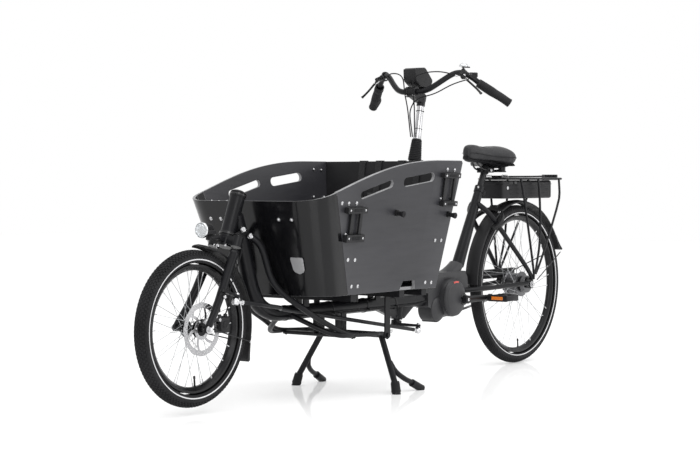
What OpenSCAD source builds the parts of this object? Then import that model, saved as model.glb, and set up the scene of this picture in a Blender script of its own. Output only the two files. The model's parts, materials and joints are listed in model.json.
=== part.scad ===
// Front-loading cargo bicycle with a wooden box, a mid motor and a tie-rod steering linkage.
// +X points forward, +Y to the rider's left and +Z up. Modules work from the rear axle's
// ground point, and at_origin() moves them to the middle of the bicycle's footprint.

/* [Wheels] */
// Distance between the two axles
wheelbase = 2020; // [1990:10:2060]
// Outer radius of the rear tyre
rear_tyre_r = 330; // [325:1:332]
// Outer radius of the front tyre
front_tyre_r = 258; // [250:1:260]
// Width of the rear tyre
rear_tyre_w = 50; // [44:1:52]
// Width of the front tyre
front_tyre_w = 55; // [48:1:56]
// Gap under the front tyre while the stand is down
front_lift = 22; // [15:1:30]
// Number of spokes in each wheel
spoke_count = 36; // [28:4:36]

/* [Cargo box] */
// Height of the box's bottom edge
box_z = 371; // [371:1:376]
// Half of the box's width at the bottom
box_half_w = 250; // [245:1:255]
// Height of the rear corner of the rim
rim_rear_z = 835; // [820:1:845]
// Height of the rim at the front
rim_front_z = 692; // [688:1:700]
// Thickness of the side, rear and floor panels
panel_t = 12; // [10:1:12]

/* [Steering] */
// Tilt of the head tube from vertical
head_angle = 22; // [21.5:0.1:22.5]
// Tilt of the steering column from vertical
column_angle = 11.1; // [10.9:0.1:11.3]
// Diameter of the handlebar tube
bar_d = 22; // [22:0.2:22.4]

/* [Drive] */
// Length of each crank arm
crank_len = 170; // [160:5:170]
// Radius of the chainring at its teeth
chainring_r = 73.5; // [70:0.5:76]
// Radius of the rear sprocket at its teeth
sprocket_r = 37.5; // [34:0.5:39]

/* [Running fits] */
// Radial clearance of shafts in their bores
fit = 0.05; // [0.03:0.01:0.1]
// Gap between pieces that sit side by side
gap = 0.4; // [0.3:0.1:0.6]

/* [Hidden] */
$fn = 48;
rear_hub_z = rear_tyre_r;
front_hub_z = front_tyre_r + front_lift;
rear_guard_r = rear_tyre_r + 20;
front_guard_r = front_tyre_r + 17;
// How far the rear mudguard's flap reaches behind the rear axle
rear_overhang = rear_tyre_r + 16;
mid_x = (wheelbase + front_tyre_r - rear_overhang) / 2;
axle_r = 5;
// The head tube's lower end and the column's sleeve joint, each on its own steering axis
head_p = [wheelbase - 178, 0, front_hub_z + 299];
column_p = [745, 0, 843];
// The tie rod's ball joints: one on the fork's arm and one on the column's arm
fork_ball = [1908, 92, 366];
column_ball = [852.7, 89.8, 198];
ball_r = 7.5;
ball_play = 0.6;
bottom_bracket = [507, 0, 295];
motor_p = [553, 0, 303];
stand_p = [1150, 0, 205];
side_slope = 0.15;
front_slope = 0.343;
side_tilt = atan(side_slope);
seam_bottom_x = 1505;
seam_slope = 0.373;
rear_bottom_x = 969;
rear_slope = -0.164;
bar_half = [[763, 0, 1102], [762, 35, 1102], [753, 72, 1111], [733, 110, 1138], [706, 150, 1168],
            [688, 180, 1172], [668, 212, 1154], [640, 247, 1120], [584, 311, 1066]];
grip_a = [640, 247, 1120];
grip_b = [578, 318, 1060];
// Underside of the bell's lever, on the bell's axis
bell_p = [688, 186, 1191];

// ---- Helpers ----
module at_origin() translate([-mid_x, 0, 0]) children();
module both_sides() { children(); mirror([0, 1, 0]) children(); }
module along_y(y0, y1) translate([0, y1, 0]) rotate([90, 0, 0]) linear_extrude(y1 - y0) children();
module rod(a, b, r, r2 = -1) {
    d = b - a;
    translate(a) rotate([0, acos(d.z / norm(d)), atan2(d.y, d.x)])
        cylinder(h = norm(d), r1 = r, r2 = r2 < 0 ? r : r2);
}
module on_fork_axis() translate(head_p) rotate([0, -head_angle, 0]) children();
module on_column() translate(column_p) rotate([0, -column_angle, 0]) children();
// Local z points out of the left panel, x forward and y down the panel
module on_left_panel(x, z)
    translate([x, side_y(z), z]) rotate([-90 - side_tilt, 0, 0]) children();

function unit(v) = v / norm(v);
function polar(c, r, k) = c + r * [cos(k), sin(k)];
function arc(c, r, a0, a1, n) = [for (i = [0 : n]) polar(c, r, a0 + (a1 - a0) * i / n)];
function stadium(a, b, r) = let (k = atan2(b.y - a.y, b.x - a.x))
    concat(arc(b, r, k - 90, k + 90, 8), arc(a, r, k + 90, k + 270, 8));
// The outline of a belt around two circles whose centres are a and b
function belt(a, ra, b, rb) = let (k = atan2(b.y - a.y, b.x - a.x), t = acos((ra - rb) / norm(b - a)))
    concat(arc(b, rb, k - t, k + t, 20), arc(a, ra, k + t, k + 360 - t, 28));
// Catmull-Rom points between each pair of the given points
function smooth(p, n) = let (m = len(p) - 1) concat([for (i = [0 : m - 1], j = [0 : n - 1])
    let (t = j / n, a = p[max(i - 1, 0)], b = p[i], c = p[i + 1], d = p[min(i + 2, m)])
    0.5 * (2 * b + (c - a) * t + (2 * a - 5 * b + 4 * c - d) * t * t + (3 * b - a - 3 * c + d) * t * t * t)],
    [p[m]]);
function tangent(p, i) = unit(p[min(i + 1, len(p) - 1)] - p[max(i - 1, 0)]);
// A tube along points p, with radii r that are one number or a first and a last one
module tube(p, r, sides = 12, up = [0, 0, 1]) {
    m = len(p);
    ra = is_list(r) ? r[0] : r;
    rb = is_list(r) ? r[1] : r;
    rings = [for (i = [0 : m - 1]) let (t = tangent(p, i), u = unit(cross(t, up)), v = cross(t, u))
        for (k = [0 : sides - 1]) p[i] + (ra + (rb - ra) * i / (m - 1))
            * (cos(360 * k / sides) * u + sin(360 * k / sides) * v)];
    walls = [for (i = [0 : m - 2], k = [0 : sides - 1]) let (a = i * sides, n = (k + 1) % sides)
        each [[a + k, a + sides + n, a + n], [a + k, a + sides + k, a + sides + n]]];
    first = [for (k = [0 : sides - 1]) k];
    last = [for (k = [sides - 1 : -1 : 0]) (m - 1) * sides + k];
    polyhedron(rings, concat(walls, [first, last]), convexity = 6);
}

// ---- Wheels ----
module tyre(z, x, r, w) {
    c = r - w / 2;
    translate([x, 0, z]) rotate([90, 0, 0]) rotate_extrude($fn = 96) difference() {
        translate([c, 0]) circle(w / 2);
        translate([c, 0]) circle(w / 2 - 4);
        translate([c - w, -w]) square([w - 0.36 * w, 2 * w]);
    }
}
module rim(z, x, r, w) {
    top = r - w / 2 - 0.36 * w;
    h = w * 0.3;
    translate([x, 0, z]) rotate([90, 0, 0]) rotate_extrude($fn = 96)
        polygon([[top - 20, -h * 0.5], [top - 8, -h], [top, -h], [top, -h + 3], [top - 7, -h + 3],
                 [top - 12, 0], [top - 7, h - 3], [top, h - 3], [top, h], [top - 8, h],
                 [top - 20, h * 0.5]]);
}
// Crossed spokes between a flange circle and the rim, in four sets that clear each other
module spokes(z, x, flange_r, flange_y, rim_r, cross) translate([x, 0, z])
    for (i = [0 : spoke_count - 1]) {
        side = i % 2 == 0 ? 1 : -1;
        lead = floor(i / 2) % 2 == 0 ? 1 : -1;
        k = 360 * i / spoke_count;
        lane = lead > 0 ? 0 : 2.6;
        rod([flange_r * cos(k), side * (flange_y - lane), flange_r * sin(k)],
            [rim_r * cos(k + lead * cross), side * (5 - lane), rim_r * sin(k + lead * cross)], 1, $fn = 14);
    }
module front_tyre() color("#1b1b1c") at_origin() tyre(front_hub_z, wheelbase, front_tyre_r, front_tyre_w);
module rear_tyre() color("#1b1b1c") at_origin() tyre(rear_hub_z, 0, rear_tyre_r, rear_tyre_w);
module front_rim() color("#161617") at_origin() rim(front_hub_z, wheelbase, front_tyre_r, front_tyre_w);
module rear_rim() color("#161617") at_origin() rim(rear_hub_z, 0, rear_tyre_r, rear_tyre_w);
function rim_inner(r, w) = r - 0.86 * w - 19;
module front_spokes() color("silver") at_origin()
    spokes(front_hub_z, wheelbase, 24, 24, rim_inner(front_tyre_r, front_tyre_w), 42);
module rear_spokes() color("silver") at_origin()
    spokes(rear_hub_z, 0, 46, 26, rim_inner(rear_tyre_r, rear_tyre_w), 46);
module front_hub() color("#1a1a1a") at_origin() translate([wheelbase, 0, front_hub_z]) rotate([90, 0, 0])
    rotate_extrude() polygon([[axle_r + fit, -53], [10, -53], [10, -44], [22, -44], [22, -39], [14, -37],
        [14, -28], [28, -28], [28, -25], [15, -22], [13, 0], [15, 22], [28, 25], [28, 28], [14, 28],
        [12, 40], [12, 53], [axle_r + fit, 53]]);
module rear_hub() color("#b9babc") at_origin() translate([0, 0, rear_hub_z]) rotate([90, 0, 0])
    rotate_extrude() polygon([[axle_r + fit, -64], [16, -64], [34, -60], [36, -40], [30, -34], [52, -30],
        [52, -27], [43, -24], [43, 24], [52, 27], [52, 30], [26, 32], [17, 38], [17, 53], [axle_r + fit, 53]]);
module front_rotor() color("#c3c4c6") at_origin() translate([wheelbase, 0, front_hub_z]) along_y(42, 44) {
    difference() {
        circle(88, $fn = 96);
        circle(70, $fn = 96);
        for (i = [0 : 23]) rotate(i * 15) translate([79, 0]) circle(3.2, $fn = 16);
    }
    difference() {
        union() {
            circle(32);
            for (i = [0 : 5]) rotate(i * 60) polygon([[20, -6], [71, 18], [71, 27], [20, 6]]);
        }
        circle(22);
    }
}
module front_axle() color("#8c8d90") at_origin() translate([wheelbase, 0, front_hub_z]) rotate([90, 0, 0]) {
    cylinder(h = 170, r = axle_r, center = true);
    for (s = [-1, 1]) translate([0, 0, s * 81]) cylinder(h = 7, r = 9, center = true, $fn = 6);
}
module rear_axle() color("#8c8d90") at_origin() translate([0, 0, rear_hub_z]) rotate([90, 0, 0]) {
    cylinder(h = 184, r = axle_r, center = true);
    for (s = [-1, 1]) translate([0, 0, s * 83]) cylinder(h = 8, r = 9, center = true, $fn = 6);
    for (s = [-1, 1]) translate([0, 0, s * 66.75]) cylinder(h = 3.5, r = 11, center = true);
}

// ---- Frame ----
module head_tube() color("#19191a") at_origin() on_fork_axis() difference() {
    union() {
        cylinder(h = 147, r = 26);
        cylinder(h = 10, r = 28.5);
        translate([0, 0, 137]) cylinder(h = 10, r = 28);
        translate([0, 0, 147]) cylinder(h = 6, r1 = 28, r2 = 20);
    }
    translate([0, 0, -1]) cylinder(h = 143, r = 14.2 + fit);
    translate([0, 0, 25]) cylinder(h = 97, r = 18);
}
module down_tube() color("#19191a") at_origin() difference() {
    tube(smooth([[1806, 0, 648], [1770, 0, 553], [1742, 0, 461], [1716, 0, 389], [1676, 0, 335],
                 [1610, 0, 306], [1560, 0, 302], [1520, 0, 302]], 3), [29, 26], 20, [0, 1, 0]);
    on_fork_axis() translate([0, 0, -20]) cylinder(h = 200, r = 26);
}
module main_beam() color("#19191a") at_origin() difference() {
    union() {
        rod([1520, 0, 302], [701, 0, 302], 26);
        along_y(-12, 12) polygon([[1010, 284], [880, 238], [830, 238], [760, 284]]);
    }
    column_hole(19 + gap);
}
module column_hole(r) on_column() translate([0, 0, -640]) cylinder(h = 640, r = r);
module cradle_tubes() color("#19191a") at_origin() both_sides() {
    tube(smooth([[1762, 24, 578], [1735, 54, 548], [1712, 62, 480], [1690, 70, 420], [1655, 96, 372],
                 [1600, 124, 330], [1545, 132, 298], [1470, 140, 262], [1400, 157, 230], [1330, 160, 219],
                 [1180, 160, 213]], 2), [13, 8.5], 10, [0, 1, 0.2]);
    tube(smooth([[1540, 14, 300], [1505, 72, 268], [1465, 128, 236], [1425, 155, 223], [1395, 160, 221],
                 [1360, 160, 220]], 2), 9, 10);
}
module cradle_crossbars() color("#19191a") at_origin() {
    for (x = [1345, 1215]) {
        rod([x, -160, 214], [x, 160, 214], 7.5);
        for (y = [-16, 10]) translate([x - 14, y, 216]) cube([28, 6, 66]);
    }
    for (x = [1440, 1150, 1010]) {
        translate([x - 15, -225, box_z - 26]) cube([30, 450, 25.5]);
        for (y = [-20, 12]) translate([x - 15, y, 318]) cube([30, 8, 30]);
    }
    both_sides() along_y(158, 164) difference() {
        polygon([[1134, 205], [1138, 196], [1150, 190], [1162, 196], [1166, 205], [1164, 350], [1136, 350]]);
        translate([stand_p.x, stand_p.z]) circle(8 + fit);
    }
}
module column_housing() color("#19191a") at_origin() on_column() difference() {
    union() {
        translate([0, 0, -618]) cylinder(h = 604, r = 19);
        translate([0, 0, -30]) cylinder(h = 26, r = 22);
        translate([0, 0, -618]) cylinder(h = 12, r = 22);
    }
    translate([0, 0, -619]) cylinder(h = 640, r = 12.5 + fit);
    translate([0, 0, -590]) cylinder(h = 560, r = 15.5);
}
seat_a = [443, 0, 425];
seat_b = [280, 0, 735];
module in_seat_tube() translate(seat_a)
    rotate([0, acos((seat_b - seat_a).z / norm(seat_b - seat_a)), 180]) children();
seat_len = norm(seat_b - seat_a);
module seat_tube() color("#19191a") at_origin() in_seat_tube() difference() {
    union() {
        cylinder(h = seat_len, r1 = 25, r2 = 17.5);
        translate([0, 0, seat_len - 24]) cylinder(h = 26, r = 20.5);
        translate([26, 0, seat_len - 11]) cube([16, 26, 18], center = true);
    }
    translate([0, 0, 60]) cylinder(h = seat_len, r = 13.6 + fit);
    translate([30, 0, seat_len - 10]) cube([44, 3, 60], center = true);
}
module motor_shell() color("#1d1d1e") at_origin() {
    difference() {
        along_y(-34, 34) polygon([[701, 276], [701, 328], [668, 346], [640, 384], [606, 404],
            [440, 404], [424, 380], [418, 332], [446, 312], [620, 240]]);
        along_y(-80, 80) translate([motor_p.x, motor_p.z]) circle(74 + gap);
        along_y(-80, 80) translate([634, 262]) circle(48 + gap);
    }
    difference() {
        tube(smooth([[590, 0, 366], [545, 0, 378], [506, 0, 394], [474, 0, 412], [450, 0, 432],
                     [436, 0, 456]], 3), [34, 26], 20, [0, 1, 0]);
        in_seat_tube() translate([0, 0, 0.1]) cylinder(h = 90, r = 60);
    }
}
module motor_unit() color("#232325") at_origin() difference() {
    union() {
        along_y(-36, 64) translate([motor_p.x, motor_p.z]) circle(74);
        along_y(64, 72) translate([motor_p.x, motor_p.z]) circle(66);
        along_y(-30, 40) translate([634, 262]) circle(48);
        along_y(-42, 76) translate([bottom_bracket.x, bottom_bracket.z]) circle(22);
    }
    along_y(-90, 90) translate([bottom_bracket.x, bottom_bracket.z]) circle(12 + fit);
}
module chainstays() color("#19191a") at_origin() both_sides() {
    tube(smooth([[452, 30, 326], [400, 37, 326], [330, 44, 327], [200, 56, 330], [80, 68, 334],
                 [24, 73, 336]], 2), [11, 9], 12);
    along_y(69, 75) difference() {
        polygon([[34, 322], [34, 346], [16, 362], [-14, 362], [-20, 340], [-16, 316], [10, 310]]);
        translate([0, rear_hub_z]) circle(axle_r);
    }
}
module seatstays() color("#19191a") at_origin() difference() {
    both_sides() tube(smooth([[318, 12, 668], [298, 38, 645], [262, 50, 612], [163, 60, 522],
                              [50, 73, 416], [6, 79, 366], [2, 80, 350]], 2), [12, 8], 12);
    in_seat_tube() cylinder(h = seat_len + 40, r = 17);
}

// ---- Cargo box ----
function side_y(z) = box_half_w + side_slope * (z - box_z);
function seam_x(z) = seam_bottom_x + seam_slope * (z - box_z);
function rear_x(z) = rear_bottom_x + rear_slope * (z - box_z);
function front_x(z) = 1635 + front_slope * (z - box_z);
// The rim is level at the rear, falls in an S curve along the sides and is level again at the front
function rim_z(x) = let (u = min(max((x - 1000) / 770, 0), 1))
    rim_rear_z - (rim_rear_z - rim_front_z) * (1 - pow(1 - pow(u, 2.4), 1.55));
function panel_pt(x, z) = [x, -(z - box_z) / cos(side_tilt)];
rim_side = [for (i = [0 : 24]) let (x = 900 + 30.4 * i) [x, rim_z(x)]];
function seam_meets_rim(z, n = 8) = n == 0 ? z : seam_meets_rim(rim_z(seam_x(z)), n - 1);
seam_top_z = seam_meets_rim(731);
module side_outline() polygon(concat(
    [panel_pt(rear_bottom_x, box_z), panel_pt(1103, box_z), panel_pt(1115, box_z + 34),
     panel_pt(1184, box_z + 34), panel_pt(1202, box_z), panel_pt(seam_bottom_x, box_z),
     panel_pt(seam_x(seam_top_z), rim_z(seam_x(seam_top_z)))],
    [for (i = [24 : -1 : 1]) let (p = rim_side[i]) if (p.x < seam_x(seam_top_z) - 8) panel_pt(p.x, p.y)],
    [panel_pt(rear_x(rim_rear_z) + 8, rim_rear_z), panel_pt(rear_x(rim_rear_z - 8), rim_rear_z - 8)]));
module box_side() translate([0, box_half_w, box_z]) rotate([-90 - side_tilt, 0, 0]) translate([0, 0, -panel_t])
    linear_extrude(panel_t) difference() {
        side_outline();
        polygon(stadium(panel_pt(1330, 751), panel_pt(1486, 713), 13));
        polygon(stadium(panel_pt(1084, 775), panel_pt(1238, 757), 16));
    }
module box_side_left() color("#3a3a3d") at_origin() box_side();
module box_side_right() color("#3a3a3d") at_origin() mirror([0, 1, 0]) box_side();
// Half of the front panel's outline at height z, inset by d, from its seam to the middle
corner_r = 105;
function front_half(z, d) = let (x = front_x(z) - d * 1.05, y = side_y(z) - d, r = corner_r - d)
    concat([[seam_x(z) + gap, y]], [for (a = [0 : 10 : 90]) [x - r + r * sin(a), y - r + r * cos(a)]]);
function front_line(z, d) = let (h = front_half(z, d), n = len(h))
    concat(h, [for (i = [n - 1 : -1 : 0]) [h[i].x, -h[i].y]]);
// Height of the rim above one point of the outline, found by stepping to where the two agree
function rim_at(i, d, z = 700, n = 6) = n == 0 ? z : rim_at(i, d, rim_z(front_line(z, d)[i].x), n - 1);
module box_front_panel() color("#1c1c1e") at_origin() {
    t = 10;
    n = len(front_line(box_z, 0));
    low_out = [for (p = front_line(box_z, 0)) [p.x, p.y, box_z]];
    low_in = [for (p = front_line(box_z, t)) [p.x, p.y, box_z]];
    top_out = [for (i = [0 : n - 1]) let (z = rim_at(i, 0), p = front_line(z, 0)[i]) [p.x, p.y, z]];
    top_in = [for (i = [0 : n - 1]) let (z = rim_at(i, 0), p = front_line(z, t)[i]) [p.x, p.y, z]];
    quads = [for (i = [0 : n - 2]) each [
        [i, i + 1, 2 * n + i + 1, 2 * n + i], [n + i + 1, n + i, 3 * n + i, 3 * n + i + 1],
        [i + 1, i, n + i, n + i + 1], [2 * n + i, 2 * n + i + 1, 3 * n + i + 1, 3 * n + i]]];
    ends = [[0, 2 * n, 3 * n, n], [n - 1, 2 * n - 1, 4 * n - 1, 3 * n - 1]];
    polyhedron(concat(low_out, low_in, top_out, top_in),
               [for (q = concat(quads, ends)) each [[q[0], q[1], q[2]], [q[0], q[2], q[3]]]], convexity = 8);
}
module box_rear_panel() color("#2b2b2d") at_origin() {
    top = rim_rear_z - 1;
    lean = atan(-rear_slope);
    h = (top - box_z) / cos(lean);
    inner = panel_t / cos(side_tilt) + gap;
    translate([rear_bottom_x, 0, box_z]) rotate([90, 0, 90]) rotate([-lean, 0, 0]) linear_extrude(panel_t)
        polygon([[-side_y(box_z) + inner, 0], [side_y(box_z) - inner, 0],
                 [side_y(top) - inner, h], [-side_y(top) + inner, h]]);
}
module box_floor() color("#2b2b2d") at_origin() translate([0, 0, box_z]) linear_extrude(panel_t) polygon(
    let (y = box_half_w - panel_t / cos(side_tilt) - gap, x = front_x(box_z) - 12)
    [[rear_bottom_x + panel_t + 2, -y], [x - 96, -y], [x - 40, -y + 26], [x - 12, -y + 72], [x, -y + 130],
     [x, y - 130], [x - 12, y - 72], [x - 40, y - 26], [x - 96, y], [rear_bottom_x + panel_t + 2, y]]);
bench_z = 612;
module bench() color("#2f2f31") at_origin() {
    translate([952, -268, bench_z]) cube([235, 536, 12]);
    for (y = [-150, 130]) translate([1150, y, box_z + panel_t]) cube([12, 20, bench_z - box_z - panel_t]);
    translate([980, -150, box_z + panel_t]) cube([12, 300, bench_z - box_z - panel_t]);
}
// Each belt lies on the bench, climbs the rear panel and hooks over its top edge
module seat_belts() color("#111111") at_origin() for (y = [-140, -64, 38, 114]) along_y(y, y + 26) {
    top = rim_rear_z + 1.5;
    polygon([[rear_x(top) - 3, top - 60], [rear_x(top) - 3, top + 2], [rear_x(top) + 18, top + 2],
             [rear_x(640) + 16, 640], [rear_x(640) + 40, bench_z + 14.2], [1090, bench_z + 14.2],
             [1090, bench_z + 12.2], [rear_x(640) + 30, bench_z + 12.2], [rear_x(640) + 13.4, 634],
             [rear_x(top) + 13.4, top], [rear_x(top) - 1, top], [rear_x(top) - 1, top - 60]]);
}
left_bolts = [[1600, 687], [1562, 686], [1518, 686], [1560, 581], [990, 803], [943, 801], [1009, 698],
              [945, 697], [1014, 546], [974, 545], [1530, 494], [1490, 492], [1492, 401], [1456, 400],
              [1044, 394], [1005, 392]];
module bolt() {
    cylinder(h = 2.6, r1 = 6, r2 = 4.2, $fn = 24);
    translate([0, 0, -16]) cylinder(h = 16, r = 2.5, $fn = 16);
    translate([0, 0, -17]) cylinder(h = 4, r = 5, $fn = 6);
}
module box_bolts() color("#d6d7d9") at_origin() {
    both_sides() for (p = left_bolts) on_left_panel(p.x, p.y) translate([0, 0, 0.2]) bolt();
    for (y = [-176, -131, 125, 180]) translate([front_x(632), y, 632])
        rotate([0, 90 + atan(front_slope), 0]) translate([0, 0, 0.2]) bolt();
}
// Holders for the poles of a rain tent, and round pegs for its straps
module tent_pole_clamps() color("#121213") at_origin() both_sides() {
    on_left_panel(1530, 665) translate([-54, -9, 3.2]) cube([108, 20, 17]);
    on_left_panel(1526, 570) translate([-50, -12, 3.2]) cube([100, 26, 17]);
    on_left_panel(1545, 618) translate([-12, -36, 3.2]) cube([18, 72, 6]);
    on_left_panel(1500, 618) translate([-7, -36, 6]) cube([14, 72, 8]);
    on_left_panel(978, 783) translate([-52, -9, 3.2]) cube([104, 18, 17]);
    on_left_panel(972, 681) translate([-46, -9, 3.2]) cube([92, 18, 17]);
    on_left_panel(1000, 732) translate([-9, -40, 3.2]) cube([18, 80, 6]);
    on_left_panel(950, 732) translate([-7, -40, 6]) cube([14, 80, 8]);
    for (p = [[1280, 650], [952, 640]]) on_left_panel(p.x, p.y) {
        translate([0, 0, 0.2]) cylinder(h = 8, r = 11);
        cylinder(h = 34, r = 7);
        translate([0, 0, 26]) cylinder(h = 8, r = 10);
    }
}

// ---- Rear carrier, mudguards, drive ----
rack_z = 770;
module rear_rack() color("#151516") at_origin() {
    both_sides() {
        tube(smooth([[-268, 0, rack_z], [-268, 40, rack_z], [-258, 68, rack_z], [-225, 73, rack_z],
                     [-50, 73, rack_z], [120, 70, rack_z], [180, 60, rack_z], [200, 40, rack_z],
                     [204, 0, rack_z]], 2), 5, 8);
        for (strut = [[[84, 76, rack_z - 4], [70, 80, rack_z - 60], [10, 88, 430], [2, 90, 372],
                       [0, 88, 352]],
                      [[-56, 76, rack_z - 4], [-60, 80, rack_z - 60], [-62, 86, 520], [-20, 91, 420],
                       [-7, 90, 372]],
                      [[-226, 76, rack_z - 4], [-229, 79, rack_z - 66], [-220, 81, rack_z - 96],
                       [-58, 91, 430], [-11, 91, 374]]])
            tube(strut, 5, 8, [1, 0, 0]);
    }
    translate([-262, -64, rack_z - 3]) cube([456, 30, 4]);
    translate([-262, 34, rack_z - 3]) cube([456, 30, 4]);
    for (x = [-200, -80, 40, 150]) rod([x, -70, rack_z], [x, 70, rack_z], 4);
    translate([-286, -34, rack_z - 5]) cube([14, 68, 22]);
}
module mudguard(z, x, r, w, a0, a1) translate([x, 0, z]) rotate([90, 0, 0]) rotate([0, 0, a0])
    rotate_extrude(angle = a1 - a0, $fn = 96)
        polygon([[r - 10, -w], [r - 4, -w + 1], [r, -w * 0.6], [r + 2, 0], [r, w * 0.6],
                 [r - 4, w - 1], [r - 10, w], [r - 10, w - 2.5], [r - 5, w - 3.5],
                 [r - 2.5, w * 0.55], [r - 0.5, 0], [r - 2.5, -w * 0.55], [r - 5, -w + 3.5],
                 [r - 10, -w + 2.5]]);
module rear_mudguard() color("#151516") at_origin() {
    mudguard(rear_hub_z, 0, rear_guard_r, 30, 2, 157);
    hub = [0, rear_hub_z];
    flap_z = rear_hub_z + 136;
    along_y(-26, 26) polygon([
        polar(hub, rear_guard_r + 2, 146), polar(hub, rear_guard_r + 5, 151), polar(hub, rear_guard_r + 12, 155),
        [-rear_overhang, flap_z], [-rear_overhang + 3, flap_z - 4], polar(hub, rear_guard_r + 7, 155),
        polar(hub, rear_guard_r + 1, 151), polar(hub, rear_guard_r - 1, 146)]);
    both_sides() rod([-322, 28, 452], [-14, 96, 350], 2.2);
}
module front_mudguard() color("#151516") at_origin() {
    mudguard(front_hub_z, wheelbase, front_guard_r, 29, 97, 192);
    hub = [wheelbase, front_hub_z];
    along_y(-25, 25) polygon([for (s = [[0, 189], [0, 196], [2, 201], [8, 205], [16, 206.5], [20, 205],
        [12, 201], [6, 196], [4, 192], [4, 189]]) polar(hub, front_guard_r - 3 + s[0], s[1])]);
    both_sides() rod([wheelbase - 262, 28, front_hub_z - 60], [wheelbase - 6, 79, front_hub_z + 3], 2.2);
}
module chain_guard() color("#131314") at_origin() {
    upper = concat([[-86, 354], [-86, 388], [-60, 394], [470, 391]],
                   arc([bottom_bracket.x, bottom_bracket.z], 96, 96, 20, 8),
                   [[590, 330], [430, 330], [380, 354]]);
    along_y(-60, -58) polygon(upper);
    along_y(-58, -40) difference() {
        polygon(upper);
        polygon(concat([[-90, 300], [-90, 385], [-60, 391.5], [468, 388.5]],
                       arc([bottom_bracket.x, bottom_bracket.z], 93.5, 96, 18, 8), [[590, 200], [200, 200]]));
    }
}
module chain() color("#7c7d80") at_origin() along_y(-51.5, -44.5) difference() {
    polygon(belt([bottom_bracket.x, bottom_bracket.z], chainring_r + 8, [0, rear_hub_z], sprocket_r + 8));
    polygon(belt([bottom_bracket.x, bottom_bracket.z], chainring_r + gap, [0, rear_hub_z], sprocket_r + gap));
}
module rear_sprocket() color("#8c8d90") at_origin() translate([0, 0, rear_hub_z]) along_y(-49, -46)
    difference() {
        circle(sprocket_r, $fn = 40);
        circle(17 + fit);
    }
// A horseshoe housing across the rear tyre, with a shackle channel
lock_p = [232, 0, 596];
module ring_lock() color("#141415") at_origin() translate(lock_p) rotate([0, -47, 0])
    rotate([0, 90, 0]) {
        rotate([0, 0, 50]) rotate_extrude(angle = 260) translate([62, -8]) square([16, 16]);
        translate([-90, -16, -8]) cube([22, 32, 16]);
    }

// ---- Fork and front end ----
module fork_crown() color("#18181a") at_origin() on_fork_axis() {
    translate([0, 0, -20]) cylinder(h = 158, r = 14.2);
    translate([0, 0, -7]) cylinder(h = 6.5, r = 27);
    translate([0, 0, -40]) cylinder(h = 34, r = 26);
    translate([-17, -50, -36]) cube([36, 100, 28]);
    both_sides() translate([1, 50, -40]) cylinder(h = 36, r = 18.5);
    translate([18, -14, -30]) cube([26, 28, 16]);
}
module fork_legs() color("#18181a") at_origin() {
    both_sides() {
        tube(smooth([[1862, 50, 530], [1893, 52, 478], [1935, 57, 402], [1975, 63, 340],
                     [2006, 68, 302], [2018, 69, 288]], 2), [17, 11], 14, [0, 1, 0]);
        along_y(64, 72) difference() {
            translate([wheelbase, front_hub_z]) polygon(stadium([-6, 10], [0, 0], 13));
            translate([wheelbase, front_hub_z]) circle(axle_r);
        }
    }
    // The left leg's steering arm, its ball stud and its ball
    axis = [-sin(head_angle), 0, cos(head_angle)];
    hull() {
        translate(fork_ball + 15 * axis) rotate([0, -head_angle, 0]) cylinder(h = 7, r = 9, $fn = 24);
        translate([1948, 72, 398]) rotate([0, -head_angle, 0]) cylinder(h = 9, r = 10, $fn = 24);
    }
    rod(fork_ball, fork_ball + 16 * axis, 3.6);
    translate(fork_ball) sphere(ball_r);
}
module headlight() color("#cfd2d6") at_origin() {
    translate([1930, 0, 600]) rotate([0, 90, 0]) cylinder(h = 40, r1 = 20, r2 = 26);
    translate([1970, 0, 600]) rotate([0, 90, 0]) cylinder(h = 4, r = 26);
    translate([1886, -9, 566]) cube([60, 18, 14]);
    translate([1930, -9, 566]) cube([16, 18, 18]);
}
module front_brake_caliper() color("#141415") at_origin() difference() {
    union() {
        translate([1900, 28, 266]) cube([46, 34, 50]);
        translate([1940, 52, 300]) cube([26, 9, 26]);
    }
    translate([1890, 41, 250]) cube([70, 4, 80]);
}

// ---- Steering column, bar and controls ----
module steering_column() color("#19191a") at_origin() {
    axis = [-sin(column_angle), 0, cos(column_angle)];
    on_column() {
        translate([0, 0, -652]) cylinder(h = 732, r = 12.5);
        translate([0, 0, -3]) cylinder(h = 82, r1 = 25, r2 = 18);
        translate([0, 0, -646]) cylinder(h = 24, r = 20);
    }
    difference() {
        hull() {
            translate(column_ball + 14 * axis) rotate([0, -column_angle, 0]) cylinder(h = 8, r = 9, $fn = 24);
            on_column() translate([0, 0, -644]) cylinder(h = 12, r = 19, $fn = 24);
        }
        on_column() translate([0, 0, -660]) cylinder(h = 60, r = 16);
    }
    rod(column_ball, column_ball + 15 * axis, 3.6);
    translate(column_ball) sphere(ball_r);
}
module stem() color("#d3d4d6") at_origin() {
    on_column() translate([0, 0, 80.2]) cylinder(h = 150, r1 = 14, r2 = 11.5);
    on_column() translate([0, 0, 214]) cylinder(h = 34, r = 15);
    along_y(-14, 14) polygon([[690, 1066], [715, 1062], [770, 1084], [772, 1092], [700, 1100], [684, 1090]]);
    difference() {
        along_y(-22, 22) translate([763, 1102]) circle(18);
        along_y(-40, 40) translate([763, 1102]) circle(bar_d / 2);
    }
}
module handlebar() color("#1a1a1b") at_origin() both_sides() tube(smooth(bar_half, 3), bar_d / 2, 16);
grip_dir = unit(grip_b - grip_a);
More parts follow.
